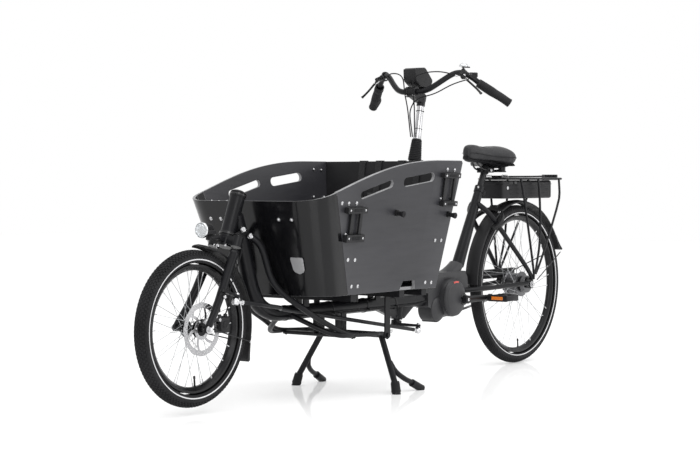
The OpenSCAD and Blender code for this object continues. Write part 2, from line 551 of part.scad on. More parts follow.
// The left grip is longer, as the right one shares its side with the gear shifter
module grips() color("#121212") at_origin() {
    rod(grip_a - 26 * grip_dir, grip_a + grip_dir, 16.5);
    both_sides() {
        rod(grip_a, grip_b, 16.5, 17.5);
        rod(grip_b, grip_b + 5 * grip_dir, 18);
    }
}
lever_out = unit([1, 0, 0] - ([1, 0, 0] * grip_dir) * grip_dir);
lever_dir = unit(0.94 * grip_dir + 0.34 * lever_out);
lever_pivot = [684, 186, 1168] + 34 * lever_out;
lever_axis = unit(cross(grip_dir, lever_out));
module bar_controls() color("#141416") at_origin() {
    along_y(-30, 30) polygon([[782, 1188], [716, 1197], [664, 1150], [678, 1124], [738, 1122], [776, 1140]]);
    both_sides() {
        rod([688, 180, 1172] - 8 * grip_dir, [688, 180, 1172] + 12 * grip_dir, 15.5);
        rod([684, 186, 1168] + 12 * lever_out, lever_pivot - 10 * lever_out, 9);
        for (s = [-1, 1]) hull() {
            translate(lever_pivot + s * 6.7 * lever_axis) rod(-1.5 * lever_axis, 1.5 * lever_axis, 7, $fn = 24);
            translate(lever_pivot + s * 6.7 * lever_axis - 16 * lever_out)
                rod(-1.5 * lever_axis, 1.5 * lever_axis, 7, $fn = 24);
        }
        rod(lever_pivot - 9 * lever_axis, lever_pivot + 9 * lever_axis, 2.5);
    }
    // The bell's dome on its pin and the thumb control stand on the left side of the bar
    translate(bell_p) {
        translate([0, 0, -14]) cylinder(h = 24, r = 3);
        translate([0, 0, 5]) cylinder(h = 12, r1 = 17, r2 = 13);
    }
    translate([664, 214, 1164]) rotate([0, 0, -40]) cube([34, 22, 20], center = true);
}
module brake_lever(side) mirror([0, side > 0 ? 0 : 1, 0]) difference() {
    union() {
        rod(lever_pivot - 4.8 * lever_axis, lever_pivot + 4.8 * lever_axis, 8);
        hull() {
            translate(lever_pivot) rod(-4.5 * lever_axis, 4.5 * lever_axis, 6, $fn = 20);
            translate(lever_pivot + 60 * lever_dir) rod(-4 * lever_axis, 4 * lever_axis, 5, $fn = 20);
        }
        hull() {
            translate(lever_pivot + 60 * lever_dir) rod(-4 * lever_axis, 4 * lever_axis, 5, $fn = 20);
            translate(lever_pivot + 92 * lever_dir + 6 * lever_out)
                rod(-4.5 * lever_axis, 4.5 * lever_axis, 6, $fn = 20);
        }
    }
    rod(lever_pivot - 20 * lever_axis, lever_pivot + 20 * lever_axis, 2.5 + fit);
}
module brake_lever_left() color("#17171a") at_origin() brake_lever(1);
module brake_lever_right() color("#17171a") at_origin() brake_lever(-1);
module bell_lever() color("#17171a") at_origin() translate(bell_p) difference() {
    union() {
        cylinder(h = 4, r = 7);
        rotate([0, 0, 150]) translate([0, -4, 0]) cube([26, 8, 4]);
    }
    translate([0, 0, -1]) cylinder(h = 6, r = 3 + fit);
}
module gear_shifter() color("#121213") at_origin() mirror([0, 1, 0]) difference() {
    rod(grip_a - 26 * grip_dir, grip_a - gap * grip_dir, 18.5);
    rod(grip_a - 30 * grip_dir, grip_a + 5 * grip_dir, 14);
}
module control_cables() color("#101011") at_origin() {
    both_sides() tube(smooth([[700, 168, 1160], [740, 120, 1176], [770, 60, 1172], [788, 24, 1150],
        [784, 20, 1100], [770, 16, 1040], [764, 12, 980], [757, 10, 930]], 3), 2.4, 8, [0.3, 1, 0]);
    tube(smooth([[680, 205, 1148], [712, 150, 1128], [740, 90, 1094], [768, 30, 1074], [776, 0, 1030],
        [768, 0, 970], [759, 0, 930]], 3), 2.4, 8, [0.3, 1, 0]);
}
// The rod bows outwards near the front wheel so that the mudguard can swing past it
function on_rod(x, y) = [x, y, column_ball.z
    + (x - column_ball.x) * (fork_ball.z - column_ball.z) / (fork_ball.x - column_ball.x)];
rod_bends = [on_rod(1680, 91.5), on_rod(1730, 138), on_rod(1830, 136)];
module tie_rod() color("#19191a") at_origin() {
    fork_up = [-sin(head_angle), 0, cos(head_angle)];
    column_up = [-sin(column_angle), 0, cos(column_angle)];
    d = unit(fork_ball - column_ball);
    difference() {
        union() {
            rod(column_ball + 9 * d, rod_bends[0], 7);
            for (i = [0, 1]) rod(rod_bends[i], rod_bends[i + 1], 7);
            rod(rod_bends[2], fork_ball + 9 * unit(rod_bends[2] - fork_ball), 7);
            for (p = rod_bends) translate(p) sphere(7);
            translate(fork_ball) sphere(12.5);
            translate(column_ball) sphere(12.5);
        }
        translate(fork_ball) sphere(ball_r + ball_play);
        translate(column_ball) sphere(ball_r + fit);
        rod(fork_ball, fork_ball + 20 * fork_up, 6.6);
        rod(column_ball, column_ball + 20 * column_up, 6.6);
    }
}

// ---- Stand ----
module kickstand() color("#151516") at_origin() {
    rod([stand_p.x, -157, stand_p.z], [stand_p.x, 157, stand_p.z], 11);
    rod([stand_p.x, -170, stand_p.z], [stand_p.x, 170, stand_p.z], 8);
    both_sides() difference() {
        union() {
            rod([stand_p.x, 134, stand_p.z - 2], [1186, 224, 30], 11);
            rod([1183, 219, 44], [1190, 231, -6], 15, 16);
            tube(smooth([[1166, 184, 112], [1152, 200, 76], [1112, 214, 46], [1062, 222, 26]], 3), [10, 9], 10);
            rod([1078, 219, 30], [1026, 228, 4], 14);
        }
        translate([900, 100, -60]) cube([400, 300, 60]);
    }
}

// ---- Crank, pedals, saddle, battery ----
module crank_arm() {
    along_y(80, 93) polygon(stadium([0, 0], [-crank_len, 0], 14));
    along_y(77.5, 80) circle(17);
}
module crank_set() color("#1b1b1d") at_origin() translate(bottom_bracket) {
    along_y(-93, 93) circle(12);
    difference() {
        union() {
            crank_arm();
            rotate([0, 0, 180]) crank_arm();
        }
        pedal_bores();
    }
    difference() {
        along_y(-50, -46) circle(chainring_r, $fn = 76);
        for (i = [0 : 4]) rotate([0, i * 72, 0]) along_y(-60, -30) translate([46, 0]) circle(17);
    }
}
module pedal_bores() {
    for (k = [0, 180]) rotate([0, 0, k]) along_y(70, 110) translate([-crank_len, 0]) circle(6 + fit);
}
module pedal() translate(bottom_bracket - [crank_len, 0, 0]) {
    along_y(80.5, 98) circle(6);
    along_y(95, 98) circle(10);
    difference() {
        translate([-44, 98, -13]) cube([88, 96, 26]);
        for (x = [-33, 13]) translate([x, 108, -20]) cube([20, 76, 40]);
    }
}
module pedal_left() color("#131314") at_origin() pedal();
module pedal_right() color("#131314") at_origin() translate(bottom_bracket) rotate([0, 0, 180])
    translate(-bottom_bracket) pedal();
module saddle() color("#1a1a1b") at_origin() hull() {
    for (y = [-52, 52]) translate([182, y, 862]) scale([1.12, 1, 1]) sphere(47, $fn = 20);
    translate([362, 0, 880]) sphere(27, $fn = 20);
    translate([280, 0, 872]) scale([1.4, 1.3, 1]) sphere(32, $fn = 20);
}
module seat_post() color("#1c1c1d") at_origin() {
    in_seat_tube() {
        translate([0, 0, 150]) cylinder(h = seat_len - 68, r = 13.6);
        translate([0, 0, seat_len + 68]) cylinder(h = 26, r = 19);
    }
    for (y = [-22, 22]) tube(smooth([[352, y * 0.35, 858], [325, y * 0.45, 838], [290, y * 0.8, 812],
        [240, y, 804], [195, y * 1.1, 804], [172, y * 1.3, 806]], 2), 3.5, 8);
    translate([216, -28, 794]) cube([44, 56, 20]);
    both_sides() translate([176, 40, 796]) cylinder(h = 22, r = 15);
    translate([158, -52, 797]) cube([36, 104, 6]);
}
module battery() color("#1b1b1c") at_origin() {
    translate([-196, -58, 688]) cube([392, 116, 76]);
    translate([-214, -44, 698]) cube([18, 88, 52]);
}

head_tube();
down_tube();
main_beam();
cradle_tubes();
cradle_crossbars();
column_housing();
seat_tube();
motor_shell();
motor_unit();
chainstays();
seatstays();
box_side_left();
box_side_right();
box_front_panel();
box_rear_panel();
box_floor();
bench();
seat_belts();
box_bolts();
tent_pole_clamps();
rear_rack();
rear_mudguard();
chain_guard();
chain();
ring_lock();
rear_axle();
fork_crown();
fork_legs();
front_mudguard();
headlight();
front_brake_caliper();
front_axle();
front_tyre();
front_rim();
front_spokes();
front_hub();
front_rotor();
rear_tyre();
rear_rim();
rear_spokes();
rear_hub();
rear_sprocket();
steering_column();
stem();
handlebar();
grips();
bar_controls();
control_cables();
tie_rod();
kickstand();
crank_set();
pedal_left();
pedal_right();
brake_lever_left();
brake_lever_right();
bell_lever();
gear_shifter();
saddle();
seat_post();
battery();
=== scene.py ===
"""Cargo bicycle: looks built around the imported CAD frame.

Shapes are given in millimetres from the rear axle's ground point (+X forward, +Y left, +Z up),
and Piece.done() turns them into the frame's metres.
"""
import json
from math import acos, atan2, copysign, cos, exp, pi, radians, sin

import bmesh
import bpy
import numpy as np
from mathutils import Matrix, Vector


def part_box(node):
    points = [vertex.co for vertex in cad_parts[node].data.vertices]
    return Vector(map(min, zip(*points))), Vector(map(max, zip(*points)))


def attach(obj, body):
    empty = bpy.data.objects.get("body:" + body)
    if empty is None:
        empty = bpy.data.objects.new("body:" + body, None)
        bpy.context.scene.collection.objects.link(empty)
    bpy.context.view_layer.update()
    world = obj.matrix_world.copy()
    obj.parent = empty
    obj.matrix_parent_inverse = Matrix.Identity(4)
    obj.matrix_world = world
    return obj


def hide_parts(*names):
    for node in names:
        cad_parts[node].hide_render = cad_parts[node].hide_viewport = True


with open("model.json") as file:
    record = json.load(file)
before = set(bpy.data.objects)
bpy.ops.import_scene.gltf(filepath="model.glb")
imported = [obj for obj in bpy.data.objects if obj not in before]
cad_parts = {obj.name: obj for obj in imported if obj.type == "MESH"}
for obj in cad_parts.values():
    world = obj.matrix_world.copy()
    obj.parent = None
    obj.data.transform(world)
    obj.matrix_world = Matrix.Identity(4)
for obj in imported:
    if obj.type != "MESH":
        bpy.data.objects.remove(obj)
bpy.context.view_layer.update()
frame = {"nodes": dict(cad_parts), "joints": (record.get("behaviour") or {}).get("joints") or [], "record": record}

# ---------------------------------------------------------------- the frame, in millimetres
REAR_X = sum(v.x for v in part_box("rear_tyre")) / 2
JOINTS = {j["name"]: j for j in frame["joints"]}
X, Y, Z = Vector((1, 0, 0)), Vector((0, 1, 0)), Vector((0, 0, 1))


def vec(x, y, z):
    return Vector((x, y, z))


def to_mm(p):
    return vec((p[0] - REAR_X) * 1000, p[1] * 1000, p[2] * 1000)


def to_frame(p):
    return vec(p[0] / 1000 + REAR_X, p[1] / 1000, p[2] / 1000)


def joint_at(name):
    return to_mm(JOINTS[name]["pos_m"])


def joint_axis(name):
    return Vector(JOINTS[name]["axis"]).normalized()


def node_box(node):
    low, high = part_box(node)
    return to_mm(low), to_mm(high)


def islands(node):
    """The separate solids of a CAD node, each as an array of its points in millimetres."""
    bm = bmesh.new()
    bm.from_mesh(frame["nodes"][node].data)
    bmesh.ops.remove_doubles(bm, verts=bm.verts, dist=1e-6)
    bm.verts.ensure_lookup_table()
    seen, groups = set(), []
    for first in bm.verts:
        if first.index in seen:
            continue
        seen.add(first.index)
        stack, points = [first], []
        while stack:
            vert = stack.pop()
            points.append(to_mm(vert.co))
            for edge in vert.link_edges:
                other = edge.other_vert(vert)
                if other.index not in seen:
                    seen.add(other.index)
                    stack.append(other)
        groups.append(np.array(points))
    bm.free()
    return groups


HUB_F, HUB_R = joint_at("front_wheel_spin"), joint_at("rear_wheel_spin")
CRANK = joint_at("crank_spin")
HEAD, HEAD_AXIS = joint_at("fork_turn"), joint_axis("fork_turn")
COLUMN, COLUMN_AXIS = joint_at("column_turn"), joint_axis("column_turn")

# Places and sizes that several pieces share.
MOTOR, MOTOR_NOSE = vec(553, 0, 303), vec(634, 0, 262)
SEAT_LOW, SEAT_TOP = vec(443, 0, 425), vec(280, 0, 735)
BAR = vec(763, 0, 1102)
LAMP_Z, BADGE_Z = 600, 479
CHAIN_Y, CRANK_LENGTH, CRANK_Y, PEDAL_Y = 48, 170, 86.5, 146
HUB_TEETH, RING_TEETH, LINK_PITCH = 18, 38, 12.7


def around_y(r, a, y=0.0):
    """A point r from the Y axis at angle a, counted from +X towards +Z."""
    return vec(r * cos(a), y, r * sin(a))


def polar(r, a):
    return r * cos(a), r * sin(a)


# ---------------------------------------------------------------- materials
MATERIALS = {}
LENS_IOR = 1.12
RELIEF_DEPTH = 0.0006
FINISHES = {
    "frame_paint": dict(color=(0.0065, 0.0066, 0.0078), rough=0.34, coat=0.06, grain=1400, bump=0.1,
                        wear=0.12, spec=0.14),
    "side_paint": dict(color=(0.021, 0.021, 0.0245), rough=0.4, grain=420, bump=0.1, stretch=(0.25, 1, 2),
                       mottle=0.08, wear=0.3, spec=0.32),
    "front_paint": dict(color=(0.004, 0.004, 0.0047), rough=0.19, grain=500, bump=0.03, mottle=0.1, coat=0.16,
                        spec=0.2),
    "inner_paint": dict(color=(0.011, 0.011, 0.012), rough=0.5, grain=300, bump=0.18, stretch=(0.3, 1, 1.6),
                        mottle=0.12, spec=0.2),
    "panel_edge": dict(color=(0.2, 0.2, 0.205), rough=0.5, grain=160, bump=0.25, stretch=(1, 8, 8),
                       mottle=0.2),
    "black_plastic": dict(color=(0.0075, 0.0075, 0.0085), rough=0.46, grain=1800, bump=0.25, wear=0.15,
                          spec=0.2),
    "motor_plastic": dict(color=(0.024, 0.024, 0.026), rough=0.4, grain=2000, bump=0.2, wear=0.15, spec=0.28),
    "gloss_plastic": dict(color=(0.006, 0.006, 0.007), rough=0.14, grain=600, bump=0.03, coat=0.25,
                          spec=0.25),
    "tyre_rubber": dict(color=(0.012, 0.012, 0.013), rough=0.72, grain=1300, bump=0.35, mottle=0.3, spec=0.2),
    "soft_rubber": dict(color=(0.009, 0.009, 0.01), rough=0.66, grain=1500, bump=0.5, mottle=0.2, spec=0.2),
    "stripe_film": dict(color=(0.62, 0.62, 0.63), rough=0.34, grain=900, bump=0.08, mottle=0.06, metal=0.3),
    "rim_black": dict(color=(0.009, 0.009, 0.01), rough=0.3, metal=0.25, grain=700, bump=0.06, wear=0.2,
                      spec=0.25),
    "alloy_black": dict(color=(0.01, 0.01, 0.011), rough=0.33, metal=0.3, grain=1100, bump=0.08, wear=0.25,
                        spec=0.2),
    "bright_steel": dict(color=(0.6, 0.6, 0.61), rough=0.24, metal=1.0, grain=800, bump=0.06, mottle=0.08),
    "spoke_steel": dict(color=(0.45, 0.46, 0.47), rough=0.3, metal=1.0, grain=900, bump=0.04, mottle=0.08),
    "rotor_steel": dict(color=(0.42, 0.42, 0.43), rough=0.28, metal=1.0, grain=700, bump=0.15, mottle=0.12),
    "hub_alloy": dict(color=(0.13, 0.13, 0.135), rough=0.32, metal=1.0, grain=1200, bump=0.14, mottle=0.12),
    "polished_alloy": dict(color=(0.5, 0.5, 0.51), rough=0.22, metal=1.0, grain=260, bump=0.05,
                           stretch=(1, 1, 0.05), mottle=0.05),
    "chain_steel": dict(color=(0.2, 0.2, 0.205), rough=0.36, metal=1.0, grain=900, bump=0.12, mottle=0.35),
    "webbing": dict(color=(0.007, 0.007, 0.008), rough=0.85, sheen=0.08, weave=160, bump=0.7, grain=700),
    "saddle_cover": dict(color=(0.016, 0.016, 0.0175), rough=0.5, cells=520, bump=0.3, sheen=0.05,
                         mottle=0.14, spec=0.28),
    "badge_metal": dict(color=(0.42, 0.42, 0.43), rough=0.34, metal=0.6, grain=500, bump=0.2, mottle=0.12),
    "amber_lens": dict(color=(0.75, 0.2, 0.02), rough=0.2, cells=260, bump=0.8, coat=0.5, grain=300),
    "red_lens": dict(color=(0.4, 0.012, 0.01), rough=0.18, cells=260, bump=0.6, coat=0.5, grain=300),
    "accent_paint": dict(color=(0.42, 0.05, 0.04), rough=0.35, grain=900, bump=0.05),
    "white_print": dict(color=(0.75, 0.75, 0.76), rough=0.35, grain=900, bump=0.05, mottle=0.05),
    "screen_glass": dict(color=(0.012, 0.014, 0.018), rough=0.06, grain=300, bump=0.01, coat=1.0),
    "grip_tape": dict(color=(0.02, 0.02, 0.02), rough=0.9, cells=900, bump=1.0, mottle=0.4),
    "lamp_chrome": dict(color=(0.6, 0.61, 0.62), rough=0.15, metal=1.0, grain=300, bump=0.02, mottle=0.03),
    "lamp_glass": dict(color=(0.95, 0.97, 1.0), rough=0.08, grain=200, bump=0.04, mottle=0.02, clear=0.65),
}


def surface(name):
    """The named finish, made once."""
    if name not in MATERIALS:
        MATERIALS[name] = finish(name, **FINISHES[name])
    return MATERIALS[name]


def finish(name, color, rough, metal=0.0, coat=0.0, grain=900, bump=0.15, stretch=(1, 1, 1),
           mottle=0.18, wear=0.0, spec=0.5, sheen=0.0, weave=0, cells=0, clear=0.0):
    """One procedural finish: mottled colour, uneven gloss, fine relief and rubbed edges."""
    mat = bpy.data.materials.new(name)
    mat.use_nodes = True
    nodes, links = mat.node_tree.nodes, mat.node_tree.links
    bsdf = nodes["Principled BSDF"]
    where = nodes.new("ShaderNodeTexCoord")
    stretched = nodes.new("ShaderNodeMapping")
    stretched.inputs["Scale"].default_value = stretch
    links.new(where.outputs["Object"], stretched.inputs["Vector"])

    def noise(scale, detail):
        node = nodes.new("ShaderNodeTexNoise")
        node.inputs["Scale"].default_value = scale
        node.inputs["Detail"].default_value = detail
        links.new(stretched.outputs["Vector"], node.inputs["Vector"])
        return node.outputs["Fac"]

    def spread(value, low, high, to_low, to_high):
        node = nodes.new("ShaderNodeMapRange")
        for key, number in zip(("From Min", "From Max", "To Min", "To Max"), (low, high, to_low, to_high)):
            node.inputs[key].default_value = number
        links.new(value, node.inputs["Value"])
        return node.outputs["Result"]

    def mix(factor, a, b):
        node = nodes.new("ShaderNodeMix")
        node.data_type = "RGBA"
        links.new(factor, node.inputs["Factor"])
        for socket, value in (("A", a), ("B", b)):
            target = [i for i in node.inputs if i.name == socket and i.type == "RGBA"][0]
            if isinstance(value, (tuple, list)):
                target.default_value = (*value, 1)
            else:
                links.new(value, target)
        return [o for o in node.outputs if o.type == "RGBA"][0]

    cloudy = noise(9, 5)
    dark = [c * (1 - mottle) for c in color]
    light = [min(1, c * (1 + mottle)) for c in color]
    tint = mix(spread(cloudy, 0.35, 0.65, 0, 1), dark, light)
    if wear:
        geometry = nodes.new("ShaderNodeNewGeometry")
        rubbed = spread(geometry.outputs["Pointiness"], 0.52, 0.6, 0, wear)
        tint = mix(rubbed, tint, [min(1, c * 2.2 + 0.05) for c in color])
    links.new(tint, bsdf.inputs["Base Color"])
    links.new(spread(noise(34, 4), 0.3, 0.7, max(0.02, rough - 0.07), min(1, rough + 0.07)),
              bsdf.inputs["Roughness"])
    bsdf.inputs["Metallic"].default_value = metal
    bsdf.inputs["Specular IOR Level"].default_value = spec
    bsdf.inputs["Coat Weight"].default_value = coat
    bsdf.inputs["Coat Roughness"].default_value = 0.12
    bsdf.inputs["Sheen Weight"].default_value = sheen
    if clear:
        bsdf.inputs["Transmission Weight"].default_value = clear
        bsdf.inputs["IOR"].default_value = LENS_IOR
    height = noise(grain, 3)
    if weave:
        lines = []
        for axis in "XYZ":
            wave = nodes.new("ShaderNodeTexWave")
            wave.bands_direction = axis
            wave.inputs["Scale"].default_value = weave
            wave.inputs["Distortion"].default_value = 0.4
            links.new(stretched.outputs["Vector"], wave.inputs["Vector"])
            lines.append(wave.outputs["Fac"])
        for other in lines:
            add = nodes.new("ShaderNodeMath")
            add.operation = "MAXIMUM"
            links.new(height, add.inputs[0])
            links.new(other, add.inputs[1])
            height = add.outputs["Value"]
    if cells:
        voronoi = nodes.new("ShaderNodeTexVoronoi")
        voronoi.inputs["Scale"].default_value = cells
        links.new(stretched.outputs["Vector"], voronoi.inputs["Vector"])
        height = voronoi.outputs["Distance"]
    relief = nodes.new("ShaderNodeBump")
    relief.inputs["Strength"].default_value = bump
    relief.inputs["Distance"].default_value = RELIEF_DEPTH
    links.new(height, relief.inputs["Height"])
    links.new(relief.outputs["Normal"], bsdf.inputs["Normal"])
    return mat


# ---------------------------------------------------------------- mesh tools
def path_through(points, steps=6):
    """Catmull-Rom points between each pair of the given points."""
    p = [Vector(q) for q in points]
    out = []
    for i in range(len(p) - 1):
        a, b, c, d = p[max(i - 1, 0)], p[i], p[i + 1], p[min(i + 2, len(p) - 1)]
        for j in range(steps):
            t = j / steps
            out.append(0.5 * (2 * b + (c - a) * t + (2 * a - 5 * b + 4 * c - d) * t * t
                              + (3 * b - a - 3 * c + d) * t ** 3))
    return out + [p[-1]]


def basis(axis, hint=None):
    """A rotation whose z is axis and whose x leans towards hint."""
    z = Vector(axis).normalized()
    hint = Vector(hint) if hint else (X if abs(z.x) < 0.9 else Y)
    x = (hint - z * hint.dot(z)).normalized()
    return Matrix((x, z.cross(x), z)).transposed()


def circle_points(r, steps=48, centre=(0, 0)):
    return [(centre[0] + r * cos(2 * pi * i / steps), centre[1] + r * sin(2 * pi * i / steps))
            for i in range(steps)]


def stadium(length, r, steps=10):
    right = [(length / 2 + r * cos(a), r * sin(a))
             for a in [pi * (i / steps - 0.5) for i in range(steps + 1)]]
    return right + [(-x, -y) for x, y in right]


class Piece:
    """One mesh piece that grows shape by shape and then rides on a body."""

    def __init__(self, name, body, mat, slot):
        self.name, self.body, self.mat, self.slot = name, body, surface(mat), slot
        self.bm = bmesh.new()

    def verts(self, points):
        return [self.bm.verts.new(p) for p in points]

    def skin(self, rings, closed_ring=True, closed_path=False, caps=True):
        rows = [self.verts(r) for r in rings]
        pairs = list(zip(rows, rows[1:])) + ([(rows[-1], rows[0])] if closed_path else [])
        for a, b in pairs:
            n = len(a)
            for i in range(n if closed_ring else n - 1):
                j = (i + 1) % n
                self.bm.faces.new((a[i], a[j], b[j], b[i]))
        if caps and not closed_path:
            self.bm.faces.new(list(reversed(rows[0])))
            self.bm.faces.new(rows[-1])

    def lathe(self, profile, at, axis, steps=48, start=0.0, sweep=360.0, hint=None):
        """Turns a closed profile of (radius, height) points about an axis."""
        m = basis(axis, hint)
        at = Vector(at)
        full = abs(sweep) >= 360
        count = steps if full else steps + 1
        rings = []
        for i in range(count):
            a = radians(start + sweep * i / steps)
            rings.append([at + m @ vec(r * cos(a), r * sin(a), h) for r, h in profile])
        self.skin(rings, closed_path=full)
        return self

    def turned(self, profile, at, axis, steps=32):
        """A solid of revolution from an open profile that starts and ends on the axis."""
        m, at = basis(axis), Vector(at)
        rings = [[at + m @ vec(r * cos(2 * pi * k / steps), r * sin(2 * pi * k / steps), h)
                  for k in range(steps)] for r, h in profile if r > 0]
        self.skin(rings)
        return self

    def sweep(self, points, radius, sides=14, flat=1.0, up=None, caps=True):
        """A tube along points: radius is a number, a list or a function of the share of the length."""
        p = [Vector(q) for q in points]
        n = len(p)
        tangents = [(p[min(i + 1, n - 1)] - p[max(i - 1, 0)]).normalized() for i in range(n)]
        side = basis(tangents[0], up).col[0].copy()
        rings = []
        for i, t in enumerate(tangents):
            side = (Vector(up) if up else side)
            side = (side - t * side.dot(t)).normalized()
            other = t.cross(side)
            share = i / (n - 1)
            if callable(radius):
                r = radius(share)
            else:
                r = radius[i] if isinstance(radius, (list, tuple)) else radius
            rings.append([p[i] + side * r * cos(2 * pi * k / sides)
                          + other * r * flat * sin(2 * pi * k / sides) for k in range(sides)])
        self.skin(rings, caps=caps)
        return self

    def plate(self, outlines, at, m, thick, bevel=0.4):
        """A flat plate from an outline and its holes, with rounded edges; m turns it into place."""
        curve = bpy.data.curves.new("outline", "CURVE")
        curve.dimensions, curve.fill_mode = "2D", "BOTH"
        curve.extrude, curve.bevel_depth, curve.bevel_resolution = thick / 2 - bevel, bevel, 1
        curve.offset = -bevel
        for outline in outlines:
            spline = curve.splines.new("POLY")
            spline.points.add(len(outline) - 1)
            for point, (x, y) in zip(spline.points, outline):
                point.co = (x, y, 0, 1)
            spline.use_cyclic_u = True
        holder = bpy.data.objects.new("outline", curve)
        bpy.context.scene.collection.objects.link(holder)
        mesh = bpy.data.meshes.new_from_object(holder.evaluated_get(bpy.context.evaluated_depsgraph_get()))
        bpy.data.objects.remove(holder)
        mesh.transform(Matrix.Translation(Vector(at)) @ m.to_4x4())
        self.bm.from_mesh(mesh)
        bpy.data.meshes.remove(mesh)
        return self

    def block(self, size, at, m=None, bevel=1.0, taper=1.0):
        """A box with rounded edges; taper narrows its far end along local z."""
        half = Vector(size) / 2
        m = m or Matrix.Identity(3)
        fresh = bmesh.new()
        bmesh.ops.create_cube(fresh, size=2)
        for v in fresh.verts:
            shrink = taper if v.co.z > 0 else 1
            v.co = vec(v.co.x * half.x * shrink, v.co.y * half.y * shrink, v.co.z * half.z)
        bmesh.ops.bevel(fresh, geom=fresh.edges[:], offset=bevel, segments=3, profile=0.5, affect="EDGES")
        mesh = bpy.data.meshes.new("block")
        fresh.to_mesh(mesh)
        fresh.free()
        mesh.transform(Matrix.Translation(Vector(at)) @ m.to_4x4())
        self.bm.from_mesh(mesh)
        bpy.data.meshes.remove(mesh)
        return self

    def bolt(self, at, axis, r=5.0, h=3.0):
        """A button-head bolt with a hexagon socket, on a washer."""
        self.lathe([(0.45 * r, 0), (1.5 * r, 0), (1.5 * r, 0.9), (1.42 * r, 1.2), (0.45 * r, 1.2)], at,
                   axis, 24)
        m, at = basis(axis), Vector(at)
        rings = []
        for rr, hh, six in ((r, 1.2, 0), (r, 1.2 + 0.4 * h, 0), (0.82 * r, 1.2 + 0.85 * h, 0),
                            (0.6 * r, 1.2 + h, 0), (0.5 * r, 1.2 + h, 1), (0.44 * r, 1.2 + 0.35 * h, 1)):
            ring = []
            for k in range(24):
                a = 2 * pi * k / 24
                q = rr / max(cos((a + pi / 6) % (pi / 3) - pi / 6), 0.5) if six else rr
                ring.append(at + m @ vec(q * cos(a), q * sin(a), hh))
            rings.append(ring)
        self.skin(rings)
        return self

    def done(self, replaces=(), smooth=40, bevel=0.0, subdivide=0):
        bmesh.ops.recalc_face_normals(self.bm, faces=self.bm.faces)
        for v in self.bm.verts:
            v.co = to_frame(v.co)
        mesh = bpy.data.meshes.new(self.name)
        self.bm.to_mesh(mesh)
        self.bm.free()
        return place(mesh, self.name, self.body, self.mat, replaces, smooth, bevel, subdivide)


def steel(name, body):
    return Piece(name, body, "bright_steel", "bolt_steel")


def plastic(name, body):
    return Piece(name, body, "black_plastic", "plastic_black")


def rubber(name, body):
    return Piece(name, body, "soft_rubber", "plastic_black")


def alloy(name, body):
    return Piece(name, body, "alloy_black", "bar_black")


def place(mesh, name, body, mat, replaces=(), smooth=40, bevel=0.0, subdivide=0):
    """Makes the object, shades it smooth below an angle and hangs it on its body."""
    obj = bpy.data.objects.new(name, mesh)
    bpy.context.scene.collection.objects.link(obj)
    for one in mat if isinstance(mat, (list, tuple)) else (mat,):
        mesh.materials.append(one)
    if bevel:
        edge = obj.modifiers.new("edges", "BEVEL")
        edge.width, edge.segments, edge.limit_method = bevel / 1000, 2, "ANGLE"
        edge.angle_limit = radians(35)
        edge.use_clamp_overlap = True
    if subdivide:
        more = obj.modifiers.new("smooth", "SUBSURF")
        more.levels = more.render_levels = subdivide
    mesh.shade_smooth()
    mesh.set_sharp_from_angle(angle=radians(smooth))
    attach(obj, body)
    if replaces:
        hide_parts(*([replaces] if isinstance(replaces, str) else replaces))
    return obj


RECORD = frame["record"]
BODY_OF = {n: b for b, ns in RECORD["behaviour"]["bodies"].items() for n in ns}


def cad_mesh(node):
    """A clean copy of a CAD node's mesh, with its double points merged."""
    bm = bmesh.new()
    bm.from_mesh(frame["nodes"][node].data)
    bmesh.ops.remove_doubles(bm, verts=bm.verts, dist=2e-6)
    return bm


def refine(node, mat, bevel=0.8, smooth=35, edge=None, normal=None):
    """The CAD node's shape with rounded edges; faces away from normal can take an edge finish."""
    mats = [surface(one) for one in (mat, edge) if one]
    bm = cad_mesh(node)
    bmesh.ops.dissolve_limit(bm, angle_limit=radians(1.0), verts=bm.verts, edges=bm.edges)
    if edge:
        bm.normal_update()
        for face in bm.faces:
            away = abs(face.normal.dot(normal)) if normal else 1 - abs(face.normal.z)
            face.material_index = 1 if away < 0.5 else 0
    mesh = bpy.data.meshes.new(node + "_shell")
    bm.to_mesh(mesh)
    bm.free()
    return place(mesh, node + "_shell", BODY_OF[node], mats, node, smooth, bevel)


def soften(node, mat, grow=0.0, angle=50, levels=1):
    """The CAD node's bent tubes as a smooth surface: quads, creased where they are truly sharp."""
    mat = surface(mat)
    bm = cad_mesh(node)
    bmesh.ops.join_triangles(bm, faces=bm.faces, angle_face_threshold=radians(20),
                             angle_shape_threshold=radians(50))
    bm.normal_update()
    sharp = bm.edges.layers.float.get("crease_edge") or bm.edges.layers.float.new("crease_edge")
    for edge in bm.edges:
        if len(edge.link_faces) == 2 and edge.calc_face_angle(0) > radians(angle):
            edge[sharp] = 1.0
    if grow:
        for v in bm.verts:
            if max((e[sharp] for e in v.link_edges), default=0) < 0.5:
                v.co += v.normal * grow / 1000
    mesh = bpy.data.meshes.new(node + "_skin")
    bm.to_mesh(mesh)
    bm.free()
    return place(mesh, node + "_skin", BODY_OF[node], mat, node, 40, 0, levels)


# ---------------------------------------------------------------- wheels
SPOKES, WHEEL_STEPS, TREAD_PITCH = 36, 144, 15


